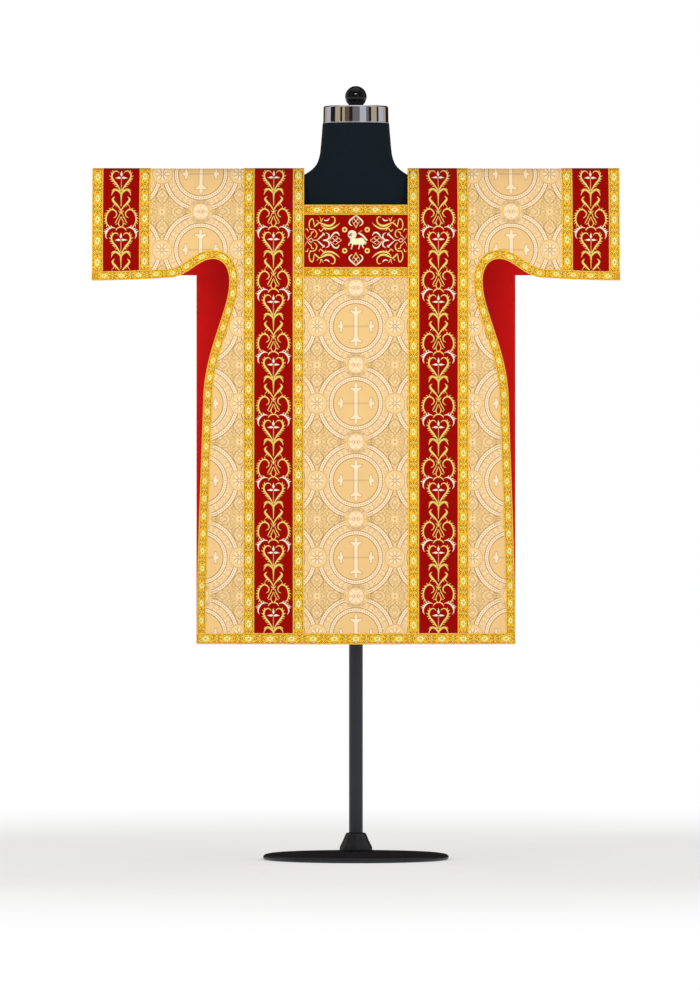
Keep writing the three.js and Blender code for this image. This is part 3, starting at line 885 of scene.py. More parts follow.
class Relief:
    """Raised needlework on a flat ground, drawn in millimetres and made into one mesh in metres."""

    def __init__(self, fullness=1.0):
        self.fullness = fullness  # how much wider than drawn the strokes are worked
        self.points, self.faces, self.places, self.threads = [], [], [], []

    def add(self, points, faces, places, thread, mirror=()):
        """Adds one closed piece of work, and again as turned over in each of the ways of mirror."""
        for flips in ((1, 1), *mirror):
            start = len(self.points)
            self.points += [(x * flips[0], y * flips[1], z) for x, y, z in points]
            way = flips[0] * flips[1]
            self.faces += [tuple(start + i for i in face[::way]) for face in faces]
            self.places += [tuple(p) for p in places]
            self.threads += thread if isinstance(thread, list) else [thread] * len(points)

    def stroke(self, knots, widths, thread, step=STITCH_STEP, rise=0.30, mirror=(), section=SECTION):
        """A padded line of satin stitch, whose widths are spaced evenly along it."""
        line = smooth_line(knots, step)
        _, left = ways(line)
        share = np.linspace(0, 1, len(line))
        half = np.interp(share, np.linspace(0, 1, len(widths)), widths) / 2 * self.fullness
        tall = np.minimum(FLATTEST + rise * half, FULLEST)
        points = [(*(p + way * h * u), z * t) for p, way, h, t in zip(line, left, half, tall)
                  for u, z in section]
        # The first of each place runs across the stroke; the thread materials paint shade near either side.
        places = [(u, s) for s in distances(line) for u, _ in section]
        self.add(points, tube_faces(len(line), len(section)), places, thread, mirror)

    def barbs(self, knots, widths, thread, way, spots, length=4.7, lean=3.2, mirror=()):
        """Short thorns on one side of a line, leaning along it."""
        line = smooth_line(knots, STITCH_STEP)
        run, left = ways(line)
        for spot in spots:
            i = int(round(spot * (len(line) - 1)))
            half = np.interp(spot, np.linspace(0, 1, len(widths)), widths) / 2
            root = line[i] + left[i] * way * half * 0.4
            elbow = root + left[i] * way * length * 0.6 + run[i] * lean * 0.35
            tip = root + left[i] * way * length + run[i] * lean
            self.stroke([root, elbow, tip], (3.0, 2.4, 0.4), thread, step=1.9, mirror=mirror)

    def patch(self, outline, thread, tall, grid=1.6, soft=2.2, lay=0.0):
        """A filled, padded shape with rounded edges, its stitches laid at an angle."""
        outline = np.array(outline, float)
        low, high = outline.min(0), outline.max(0)
        spots = np.stack(np.meshgrid(np.arange(low[0], high[0], grid), np.arange(low[1], high[1], grid)), -1)
        flat, triangles = fill(outline, spots.reshape(-1, 2), 0.4 * grid)
        _, gap = inside(flat, outline, 0.0)
        gap[:len(outline)] = 0.0
        z = tall * np.sqrt(1 - (1 - np.clip(gap / soft, 0, 1)) ** 2)
        top = np.column_stack([flat, z])
        inner = gap > 1e-6
        bottom_of = np.arange(len(flat))
        bottom_of[inner] = len(flat) + np.arange(int(inner.sum()))
        bottom = np.column_stack([flat[inner], np.zeros(int(inner.sum()))])
        points = np.concatenate([top, bottom])
        across = 0.8 * (flat[:, 0] * math.cos(lay) + flat[:, 1] * math.sin(lay)) / max(high - low)
        places = np.column_stack([across, flat[:, 1] * math.cos(lay) - flat[:, 0] * math.sin(lay)])
        places = np.concatenate([places, places[inner]])
        faces = [tuple(t) for t in triangles] + [tuple(bottom_of[t[::-1]]) for t in triangles]
        self.add(points, faces, places, thread)

    def mesh(self, name):
        """All of it as one mesh, with the lie of its stitches as the UV map and its thread as a colour."""
        made = bpy.data.meshes.new(name)
        made.from_pydata([(x / 1000, y / 1000, z / 1000) for x, y, z in self.points], [], self.faces)
        map_places(made, self.places)
        colours = made.color_attributes.new(name="thread", type="FLOAT_COLOR", domain="POINT")
        colours.data.foreach_set("color", np.array(self.threads, float).ravel())
        smooth(made)
        return made


def vine_figure():
    """The whole figure, drawn about the small cross in its heart, x to the right and y down."""
    vine = Relief()
    once, both = [], [(-1, 1)]
    for knots, widths, thread, mirror in (
            # the small cross: a bud, two leaves and a stem
            ([(0, -3.4), (0, -8), (0, -17)], (2.2, 6.4, 8.0, 4.6, 2.2, 0.5), CREAM, once),
            ([(1.2, 0), (6, -0.2), (14.5, 0.4)], (2.4, 6.2, 6.8, 4.0, 2.2, 0.6), CREAM, both),
            ([(0, -1.5), (0, 30.5)], (3.4, 2.8, 3.0, 3.6), ROSE, once),
            # the lily: two falling leaves on a stalk
            ([(0, 38), (4.5, 32), (10.5, 28), (17, 27.5), (22.5, 30.5)], (5.0, 6.4, 6.6, 5.4, 1.0), LEAF,
             both),
            ([(14, 28.5), (19.5, 33), (22.6, 41)], (3.0, 3.8, 0.8), GOLD, both),
            ([(0, 34), (0, 52), (0, 66)], (7.0, 5.6, 3.8, 3.0, 2.4, 2.0), LEAF, once),
            # the fork below it
            ([(0, 77), (4.5, 69), (11, 61.5), (17, 55.5), (19.5, 49.5), (14.5, 43.5)],
             (2.8, 3.4, 4.4, 6.8, 5.6, 0.8), GOLD, both),
            ([(9, 62), (14.5, 61.5), (20, 67.5)], (2.8, 2.8, 0.7), GOLD, both),
            ([(10, 63), (13, 67.5)], (2.2, 0.6), GOLD, both),
            ([(0, 83), (3, 80), (6.5, 75.5)], (2.4, 2.4, 0.8), GOLD, both),
            ([(0, 74), (0, 85)], (3.0, 4.8, 2.6), LEAF, once),
            # the drop between the round scrolls, in its two thin lines
            ([(3, 83), (5.6, 90.5), (9.8, 98), (13.6, 105.5)], (1.8, 2.4, 2.6, 2.2), GOLD, both),
            ([(0.3, 90.5), (3, 97.5), (5.6, 103.5), (5.2, 108.5), (2.8, 112.5), (0, 115.5)],
             (1.8, 2.2, 2.6, 2.4, 2.6), GOLD, both),
            ([(5.5, 105.5), (12.5, 108.8)], (3.0, 2.0, 0.6), GOLD, both),
            # the arch over the next heart, and a cream tip on each side of it
            ([(12.2, 122.8), (9.6, 118.3), (5, 115.1), (0, 113.8)], (1.2, 3.6, 3.2, 2.4), GOLD, both),
            ([(28.5, 120.0), (33.8, 127.0), (35.3, 135.0), (32, 142.0)], (2.4, 4.0, 3.6, 0.7), CREAM, both),
    ):
        vine.stroke(knots, widths, thread, mirror=mirror)
    # the heart, thorned outside
    heart = [(1.2, 31), (4.5, 25), (11, 15), (19, 5), (22.2, -4), (19.5, -12), (14, -16), (8.5, -15),
             (5.5, -11)]
    wide = (2.6, 3.8, 4.8, 5.2, 5.0, 4.4, 3.2, 1.4)
    vine.stroke(heart, wide, GOLD, mirror=both)
    vine.barbs(heart, wide, GOLD, 1, (0.20, 0.28, 0.36, 0.44, 0.52, 0.60, 0.68, 0.75), mirror=both)
    # the round scrolls, thorned outside
    scroll = [(17.2, 93), (12, 89.5), (10, 83), (14, 76.5), (20.5, 73.8), (27.3, 76.5), (32.4, 84), (35, 94),
              (34, 103.5), (30.4, 110), (26, 114)]
    wide = (1.4, 2.8, 3.4, 3.8, 4.2, 4.4, 4.4, 4.0, 3.4, 1.6)
    vine.stroke(scroll, wide, GOLD, mirror=both)
    vine.barbs(scroll, wide, GOLD, -1, (0.34, 0.41, 0.48, 0.55, 0.62, 0.69, 0.76, 0.83, 0.90), mirror=both)
    # the cream leaves beside the arch, thorned above
    leaf = [(12.5, 117), (19.5, 115.2), (26.4, 117.6), (32.5, 123), (38.4, 129.2)]
    vine.stroke(leaf, (0.8, 3.2, 4.2, 3.6, 0.8), CREAM, mirror=both)
    vine.barbs(leaf, (3.0, 3.6, 3.0), CREAM, -1, (0.30, 0.44, 0.58, 0.72, 0.86), length=5.0, mirror=both)
    return vine.mesh("vine_figure")


def repeat_tree():
    """Sets a figure at even steps along every line of a mesh, each a little uneven as handwork is."""
    tree = bpy.data.node_groups.new("repeat_along_lines", "GeometryNodeTree")
    kinds = {"Lines": "Geometry", "Figure": "Object", "Pitch": "Float", "Unevenness": "Float", "Seed": "Int",
             "Thread": "Material"}
    for name, kind in kinds.items():
        tree.interface.new_socket(name, in_out="INPUT", socket_type=f"NodeSocket{kind}")
    tree.interface.new_socket("Work", in_out="OUTPUT", socket_type="NodeSocketGeometry")
    group_input = tree.nodes.new("NodeGroupInput")
    lines, shape, pitch, unevenness, seed, thread, _ = (Number(tree, come) for come in group_input.outputs)
    curves = get(tree, "GeometryNodeMeshToCurve", 0, Mesh=lines)
    spots = get(tree, "GeometryNodeResampleCurve", 0, {"mode": "LENGTH"}, Curve=curves, Length=pitch)
    figure = get(tree, "GeometryNodeObjectInfo", "Geometry", Object=shape)
    size = get(tree, "FunctionNodeRandomValue", 1, {"data_type": "FLOAT"}, _2=1.0 - unevenness,
               _3=1.0 + unevenness, Seed=seed)
    set_out = get(tree, "GeometryNodeInstanceOnPoints", 0, Points=spots, Instance=figure, Scale=size)
    real = get(tree, "GeometryNodeRealizeInstances", 0, _0=set_out)
    work = get(tree, "GeometryNodeSetMaterial", 0, Geometry=real, Material=thread)
    node(tree, "NodeGroupOutput", Work=work)
    return tree


repeats = repeat_tree()
LANE = 1.0  # lines are first worked side by side, each in a lane of its own
KEEPS_LAST = 0.9999  # so that rounding doesn't lose the figure at a line's end


def work_lines(name, lines, figure, pitch, material, unevenness=0.0, seed=1):
    """Repeats a figure along lines, given as (lane, across, start, end), and returns the plain mesh."""
    points = [(lane * LANE + across, s, 0.0) for lane, across, *ends in lines for s in ends]
    guide = bpy.data.meshes.new(f"{name}_lines")
    guide.from_pydata(points, [(2 * i, 2 * i + 1) for i in range(len(lines))], [])
    carrier = put(f"{name}_lines", guide)
    master = bpy.data.objects.new(f"{name}_figure", figure)
    modifier = carrier.modifiers.new("repeat", "NODES")
    modifier.node_group = repeats
    values = {"Figure": master, "Pitch": pitch * KEEPS_LAST, "Unevenness": unevenness, "Seed": seed,
              "Thread": material}
    for socket in repeats.interface.items_tree:
        if socket.in_out == "INPUT" and socket.name in values:
            modifier[socket.identifier] = values[socket.name]
    depsgraph = bpy.context.evaluated_depsgraph_get()
    made = bpy.data.meshes.new_from_object(carrier.evaluated_get(depsgraph))
    made.name = name
    bpy.data.objects.remove(carrier)
    bpy.data.objects.remove(master)
    return made


def lay_on_cloth(mesh, lanes, lift):
    """Moves worked lanes onto the garment. Each lane gives flat places for (across, along), and its side."""
    points = np.zeros((len(mesh.vertices), 3))
    mesh.vertices.foreach_get("co", points.ravel())
    points = points.reshape(-1, 3)
    lane_of = np.rint(points[:, 0] / LANE).astype(int)
    laid = np.empty_like(points)
    turned = np.zeros(len(lanes), bool)
    for number, lane in enumerate(lanes):
        here = lane_of == number
        across, along_it = points[here, 0] - number * LANE, points[here, 1]
        flat = lane.flat(across * lane.scale, along_it * lane.scale)
        laid[here] = drape(lane.side, flat, lift + points[here, 2] * lane.scale)
        turned[number] = lane.turned != (lane.side == "front")
    mesh.vertices.foreach_set("co", laid.ravel())
    work = bmesh.new()
    work.from_mesh(mesh)
    work.verts.ensure_lookup_table()
    backwards = [f for f in work.faces if turned[lane_of[f.verts[0].index]]]
    bmesh.ops.reverse_faces(work, faces=backwards)
    work.to_mesh(mesh)
    work.free()
    mesh.update()


def cut_off(mesh, y, way, lanes=None):
    """Cuts away the work beyond a line across some lanes, and closes the cut ends."""
    work = bmesh.new()
    work.from_mesh(mesh)
    chosen = [f for f in work.faces if lanes is None or round(f.verts[0].co.x / LANE) in lanes]
    parts = {v for f in chosen for v in f.verts} | {e for f in chosen for e in f.edges} | set(chosen)
    cut = bmesh.ops.bisect_plane(work, geom=list(parts), dist=1e-7, plane_co=(0, y, 0), plane_no=(0, way, 0),
                                 clear_outer=True)["geom_cut"]
    open_edges = [e for e in cut if isinstance(e, bmesh.types.BMEdge) and e.is_boundary]
    bmesh.ops.holes_fill(work, edges=open_edges, sides=0)
    work.to_mesh(mesh)
    work.free()


def laid_threads():
    """A group for laid threads: height, a wandering tone with painted shade between threads, and a
    painted-shade mask for stroke sides.
    """
    tree, spot, threads = new_group("laid_threads", ("Height", "Shade", "Edge"), "Threads per metre")
    across, along_it, _ = apart(spot)
    phase = along_it * 0.001 * (threads * (2 * math.pi))
    thread = sine(phase + across * 1.4)
    wander = noise(spot, 1.7, 3.0)
    # Edge is 1 on each stroke's sides, where the thread gets painted shade; the thread's sine in Shade paints
    # shade between threads.
    node(tree, "NodeGroupOutput", Height=thread * 0.5 + 0.5,
         Shade=(wander - 0.5) * 0.7 + thread * 0.12 + 0.5, Edge=below(1.0, abs(across) + 0.3, 0.24))
    return tree


threads_group = laid_threads()


def thread_material(name, threads, stroke_shade_colour, stroke_shade_share, metal, rough):
    """Silk or gilt thread: the colour comes from the work itself, with painted shade where a stroke turns
    down at its sides.
    """
    material, tree = new_material(name)
    height, shade, edge = use_group(tree, threads_group, Place=cloth_places(tree), Threads_per_metre=threads)
    thread = get(tree, "ShaderNodeAttribute", "Color", {"attribute_name": "thread"})
    # The sides of each stroke are blended towards a dark colour as painted shade.
    colour = blend(edge * stroke_shade_share, thread, stroke_shade_colour)
    end_material(tree, Base_Color=toned(colour, shade * 0.45 + 0.78), Roughness=shade * 0.16 + (rough - 0.08),
                 Normal=bumped(height, 0.5, 0.0003), Metallic=metal, Sheen_Weight=0.2, Sheen_Roughness=0.3)
    return material


# Its dark brown is painted shade on the sides of the strokes.
silk = thread_material("embroidery_silk", 2300.0, rgb(92, 36, 6), stroke_shade_share=0.92, metal=0.0, rough=0.42)


class BandLane:
    """A lane of embroidery: across is measured from a middle line, along from the shoulder."""
    turned, scale = False, 1.0

    def __init__(self, side, middle):
        self.side, self.middle = side, middle

    def flat(self, across, along_it):
        return np.stack([self.middle + across, along_it], -1)


def carried(name, mesh, *materials):
    """Needlework goes wherever the cloth under it goes."""
    piece = put(name, mesh, *materials)
    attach(piece, "root")
    return piece


EMBROIDERY_LIFT = BAND_HIGH - 0.00005  # sunk a little into the satin
TRIM = 0.0004  # how far the work stops short of the cloth's end
FIGURE_TOP = 0.017  # how far the figure reaches above its small cross
VINE_HALF = 0.03
lines = []
for number, band in enumerate(bands):
    foot = float(band.foot(np.array([band.middle]))[0])
    count = int((foot - FIRST_HEART + FIGURE_TOP) / VINE_REPEAT) + 1
    lines.append((number, 0.0, FIRST_HEART, FIRST_HEART + (count - 1) * VINE_REPEAT))
vine = work_lines("vine_embroidery", lines, vine_figure(), VINE_REPEAT, silk)
cut_off(vine, TRIM, -1)
for number, band in enumerate(bands):
    foot = float(np.min(band.foot(np.array([band.middle - VINE_HALF, band.middle + VINE_HALF]))))
    cut_off(vine, foot - TRIM, 1, {number})
lay_on_cloth(vine, [BandLane(band.side, band.middle) for band in bands], EMBROIDERY_LIFT)
vine_piece = carried("vine_embroidery", vine)
for piece, band, size in band_sheets:
    sheet_of(piece, "red_satin", band.node, flat=size, rests_on=[band.side], with_pieces=[vine_piece])


# ------------------------------------------------------------------ galloon
# A heavy tape of gilt thread with a corded edge each side and raised flowers and crossing vines between.
# It borders every red band, the neck, the yoke, the hem, and the whole open edge of sleeve and side.

FIGURE_PITCH = 0.0497
CORD = 2.6  # millimetres across the corded edge
TAPE_LOW, FIELD_LIFT, CORD_LIFT = 0.1, 0.85, 1.55
FULL_WIDTH = 0.026  # the widest galloon; the narrower ones have the same figures, smaller
FIGURE_LIFT = (FIELD_LIFT - 0.05) / 1000  # sunk a little into the tape
FIGURE_TRIM = 0.0008  # how far the figures stop short of the tape's end
PLAIN_ENDS = 0.006  # the tape that is left out of account when the flowers are counted
RIB_PITCH, TWIST_PITCH, HERRING_PITCH = 1.1, 1.9, 4.6  # millimetres
YELLOW, PALE_GILT, OLD_GILT = rgb(255, 250, 150), rgb(255, 232, 72), rgb(206, 132, 6)


class Run:
    """One length of galloon, from its outer edge inwards. Along is measured on that edge."""

    def __init__(self, node_name, side, edge, inward, width):
        self.node, self.side = node_name, side
        self.width, self.scale = width, width / FULL_WIDTH
        self.edge, self.inward = np.array(edge, float), np.array(inward, float)
        self.stations = distances(self.edge)
        ahead = self.edge[1] - self.edge[0]
        self.turned = bool(self.inward[0, 0] * ahead[1] - self.inward[0, 1] * ahead[0] < 0)

    def flat(self, across, along_it):
        spot = np.stack([np.interp(along_it, self.stations, self.edge[:, i]) for i in (0, 1)], -1)
        way = np.stack([np.interp(along_it, self.stations, self.inward[:, i]) for i in (0, 1)], -1)
        return spot + way * (np.asarray(across) + self.width / 2)[..., None]

    def mirrored(self):
        name, flip = self.node.replace("right", "left"), (-1, 1)
        return Run(name, self.side, self.edge * flip, self.inward * flip, self.width)


def upright(node_name, side, bottom=None):
    """A run that hangs straight down from the shoulder, placed by its node."""
    low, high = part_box(node_name)
    drops = fall_rows(0.0, shoulder_z - low.z if bottom is None else bottom)
    return Run(node_name, side, np.stack([np.full(len(drops), low.x), drops], -1),
               np.tile((1.0, 0.0), (len(drops), 1)), high.x - low.x)


def level(node_name, side):
    """A run that goes straight across, placed by its node."""
    low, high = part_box(node_name)
    xs = np.linspace(low.x, high.x, int((high.x - low.x) / 0.012) + 2)
    top, bottom = shoulder_z - high.z, shoulder_z - low.z
    return Run(node_name, side, np.stack([xs, np.full(len(xs), bottom)], -1),
               np.tile((0.0, -1.0), (len(xs), 1)), bottom - top)


def border(side):
    """The run that follows the open edge, from the sleeve's end to the hem's galloon."""
    edge = side_edge(side)
    inward = ways(edge)[1]
    if side == "back":
        corner = int(np.argmin(np.linalg.norm(edge - (half_body["back"], BACK_SLEEVE_DROP), axis=1)))
        inward[:corner], inward[corner], inward[corner + 1:] = (0, -1), (-1, -1), (-1, 0)
        near = np.linalg.norm(edge - edge[corner], axis=1) < EDGE_GALLOON
        near[corner] = False
        edge, inward = edge[~near], inward[~near]
    foot = shoulder_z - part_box("hem_galloon_front")[1].z - 2 * SEWN_GAP
    kept = edge[:, 1] < foot
    last = np.array([np.interp(foot, edge[-40:, 1], edge[-40:, 0]), foot])
    return Run(f"side_galloon_{side}_right", side, np.concatenate([edge[kept], [last]]),
               np.concatenate([inward[kept], inward[-1:]]), EDGE_GALLOON)


runs = []
for side in SIGN:
    clear = foot_line(side, EDGE_GALLOON + 2 * SEWN_GAP)
    for part in ("clavus_inner_galloon", "clavus_outer_galloon", "cuff_inner_galloon", "cuff_outer_galloon"):
        name = f"{part}_{side}_right"
        middle = (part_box(name)[0].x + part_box(name)[1].x) / 2
        right = upright(name, side, float(clear(middle)) if "cuff" in part else None)
        runs += [right, right.mirrored()]
    right = border(side)
    runs += [right, right.mirrored(), level(f"neck_galloon_{side}", side), level(f"hem_galloon_{side}", side)]
runs.append(level("yoke_galloon", "front"))


def galloon_figure():
    """An eight-petalled flower between two vines, which meet and cross before the next one."""
    figure = Relief()
    half = FIGURE_PITCH * 1000 / 2
    flower, places = [], []
    for i in range(16):
        x, y = 8.0 * math.cos(math.pi * i / 8), 12.4 * math.sin(math.pi * i / 8)
        notch = i % 2
        foot, crest, tall = ((1.0, 0.66, 1.0), (0.74, 0.42, 0.3))[notch]
        flower += [(foot * x, foot * y, 0.0), (crest * x, crest * y, tall)]
        # The first of each place sets the painted shade: full at a petal's foot, some in the notches, little
        # on a crest.
        places += [(1.0, 0.0), (0.1 + 0.45 * notch, 3.0)]
    faces = [(2 * i, (2 * i + 2) % 32, (2 * i + 3) % 32, 2 * i + 1) for i in range(16)]
    faces += [(2 * i + 1, (2 * i + 3) % 32, 32) for i in range(16)] + [tuple(range(30, -2, -2))]
    figure.add([*flower, (0, 0, 0.3)], faces, [*places, (0.6, 6.0)], [YELLOW] * 32 + [OLD_GILT])
    ridge = ((-1.0, 0.0), (0.0, 1.0), (1.0, 0.0))
    for way in (1, -1):
        vine = [(8.3 * way * math.cos(math.pi * share / 2), half * share) for share in (-1, -0.5, 0, 0.5, 1)]
        figure.stroke(vine, (2.6, 3.0, 2.4, 3.0, 2.6), PALE_GILT, step=13.0, section=ridge)
        root, tip, wide = 9.6 * way, 2.8 * way, 2.6
        corners = [(root, half, 0), ((root + tip) / 2, half - wide * way, 0), (tip, half, 0),
                   ((root + tip) / 2, half + wide * way, 0), ((root + tip) / 2, half, 0.8)]
        # Each leaf's places give it painted shade round its rim and none at its crest.
        figure.add(corners, [(4, 1, 0), (4, 2, 1), (4, 3, 2), (4, 0, 3), (0, 1, 2, 3)],
                   [(0.9, 0), (0.9, 3), (0.9, 6), (0.9, 3), (0, 3)], YELLOW)
    return figure.mesh("galloon_figure")


def tape_material():
    """Gilt tape: a ribbed ground, dark in flecks of painted shadow round the flowers and of darker weave
    between them, and twisted cords.
    """
    material, tree = new_material("galloon_tape")
    in_from_edge, along_it, _ = apart(cloth_places(tree))
    where = get(tree, "ShaderNodeTexCoord", "Object")
    mottle, drift = noise(where, 300.0, 3.0), noise(where, 9.0, 2.0)
    rib = sine(along_it * (2 * math.pi / RIB_PITCH))
    twist = sine((along_it + in_from_edge * 0.5) * (2 * math.pi / TWIST_PITCH))
    is_cord = below(in_from_edge, CORD + 0.3, 0.1)
    height = (1.0 - is_cord) * rib + is_cord * twist * 2.0
    off_middle = FULL_WIDTH * 1000 / 2 - in_from_edge
    off_flower = abs(wrap(along_it, FIGURE_PITCH * 1000 / 2))
    # A painted shadow in a ring round each flower, on the ground beside it.
    shadow = stripe(hypot(off_middle * 1.5, off_flower), 14.2, 1.9, 1.2) * below(4.0, off_middle, 1.5)
    herring = sine((off_flower + off_middle) * (2 * math.pi / HERRING_PITCH))
    between = below(-0.1, herring, 0.5) * below(12.5, off_flower, 2.0)
    # Where the mottle allows, the ground is darkened: painted shadow round the flowers, darker weave between
    # them.
    flecks_and_shadow = below(0.86 - mottle, most(shadow, between * 0.8) * 0.7, 0.18)
    ground = blend(flecks_and_shadow, rgb(255, 186, 12), rgb(146, 76, 0))
    # The cords are painted darker in the hollows of their twist, as shade.
    corded = blend(below(twist, -0.3, 0.5) * 0.6, rgb(255, 206, 58), rgb(232, 154, 16))
    # Lighter on the crests of ribs and twists and darker in their grooves, as painted shade; the drift is
    # random.
    tone = drift * 0.3 + height * 0.05 + 0.92
    end_material(tree, Base_Color=toned(blend(is_cord, ground, corded), tone), Roughness=mottle * 0.2 + 0.32,
                 Normal=bumped(height, 0.6, 0.0003), Metallic=0.08)
    return material


tape_gilt = tape_material()
# Its dark orange is painted shade on the sides of the flowers, vines, leaves and stitches.
figure_gilt = thread_material("galloon_thread", 1500.0, rgb(172, 96, 0),
                              stroke_shade_share=0.8, metal=0.08, rough=0.36)


def figure_margin(run):
    """How far the first flower is from the run's end, with the whole row centred on the run."""
    worked = run.stations[-1] / run.scale
    count = max(1, round((worked - PLAIN_ENDS) / FIGURE_PITCH))
    return (worked - (count - 1) * FIGURE_PITCH) / 2


def tape(run):
    """The woven tape itself: a flat back, a ribbed field and a round cord along each edge."""
    wide = run.width * 1000
    gap = SEWN_GAP * 1000
    half = ((gap, TAPE_LOW), (gap, 0.75), (0.55, 1.25), (1.35, CORD_LIFT), (2.15, 1.3), (CORD, 0.95),
            (CORD + 0.6, FIELD_LIFT))
    section = np.array([*half, (wide / 2, FIELD_LIFT), *[(wide - t, h) for t, h in reversed(half)]])
    across, lifts = section[:, 0] / 1000 - run.width / 2, section[:, 1] / 1000
    count = len(section)
    stations = run.stations
    flat = run.flat(np.tile(across, (len(stations), 1)), np.repeat(stations, count).reshape(-1, count))
    points = drape(run.side, flat, np.tile(lifts, (len(stations), 1))).reshape(-1, 3)
    faces = tube_faces(len(stations), count, run.turned == (run.side == "front"))
    mesh = bpy.data.meshes.new(f"{run.node}_tape")
    mesh.from_pydata(points.tolist(), [], faces)
    from_edge = np.minimum(section[:, 0], wide - section[:, 0]) / run.scale
    along_it = (stations / run.scale - figure_margin(run)) * 1000
    map_places(mesh, np.stack([np.tile(from_edge, len(stations)), np.repeat(along_it, count)], -1))
    smooth(mesh, 60)
    middle = line_length(drape(run.side, run.flat(np.zeros(len(stations)), stations)))
    over = np.linspace(-run.width / 2, run.width / 2, 9)
    width = line_length(drape(run.side, run.flat(over, np.full(len(over), stations[len(stations) // 2]))))
    return put(f"{run.node}_tape", mesh, tape_gilt), (width, middle)


lines = []
for number, run in enumerate(runs):
    margin = figure_margin(run)
    lines.append((number, 0.0, margin, run.stations[-1] / run.scale - margin))
raised = work_lines("galloon_figures", lines, galloon_figure(), FIGURE_PITCH, figure_gilt, 0.03, 7)
for number, run in enumerate(runs):
    cut_off(raised, FIGURE_TRIM, -1, {number})
    cut_off(raised, run.stations[-1] / run.scale - FIGURE_TRIM, 1, {number})
lay_on_cloth(raised, runs, FIGURE_LIFT)
raised_piece = carried("galloon_figures", raised)

# Each tape is sewn down by hand with small slanting stitches inside both cords.
STITCH_PITCH = 0.0042
STITCH_START = 0.003  # how far the first stitch is from the tape's end
lines = []
for number, run in enumerate(runs):
    across = (run.width / 2 - (CORD + 0.35) / 1000) / run.scale
    last = run.stations[-1] / run.scale - STITCH_START
    lines += [(number, way * across, STITCH_START, last) for way in (-1, 1)]
stitch = Relief()
stitch.stroke([(-0.5, -1.1), (0.0, 0.0), (0.5, 1.1)], (0.35, 0.6, 0.35), OLD_GILT, step=1.2,
              section=((-1.0, 0.0), (0.0, 1.0), (1.0, 0.0)))
stitches = work_lines("galloon_stitches", lines, stitch.mesh("stitch"), STITCH_PITCH, figure_gilt, 0.12, 3)
lay_on_cloth(stitches, runs, FIGURE_LIFT)
stitch_piece = carried("galloon_stitches", stitches)
for run in runs:
    piece, size = tape(run)
    sheet_of(piece, "galloon", run.node, flat=size, rests_on=[run.side],
             with_pieces=[raised_piece, stitch_piece])


# ------------------------------------------------------------------ yoke
# A panel of red satin under the front neck, worked in gold, cream and rose: leafy sprays in the corners,
# knots and pointed frames round it, four rings, and a lamb with a pennon in the middle.

YOKE_MIDDLE = 0.170  # drop of the middle of the work
PALE = rgb(254, 242, 190)
low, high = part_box("yoke")
yoke_top, yoke_foot = shoulder_z - high.z, shoulder_z - low.z
flat, faces = strip(low.x, high.x, yoke_top, yoke_foot)
yoke = shell("yoke_satin", "front", flat, faces, BAND_LOW, BAND_HIGH, red_satin)


def ring(x, y, radius, corners):
    """The corners of a circle, and the first of them again."""
    turns = np.arange(corners + 1) * 2 * math.pi / corners
    return np.stack([x + radius * np.cos(turns), y + radius * np.sin(turns)], -1)


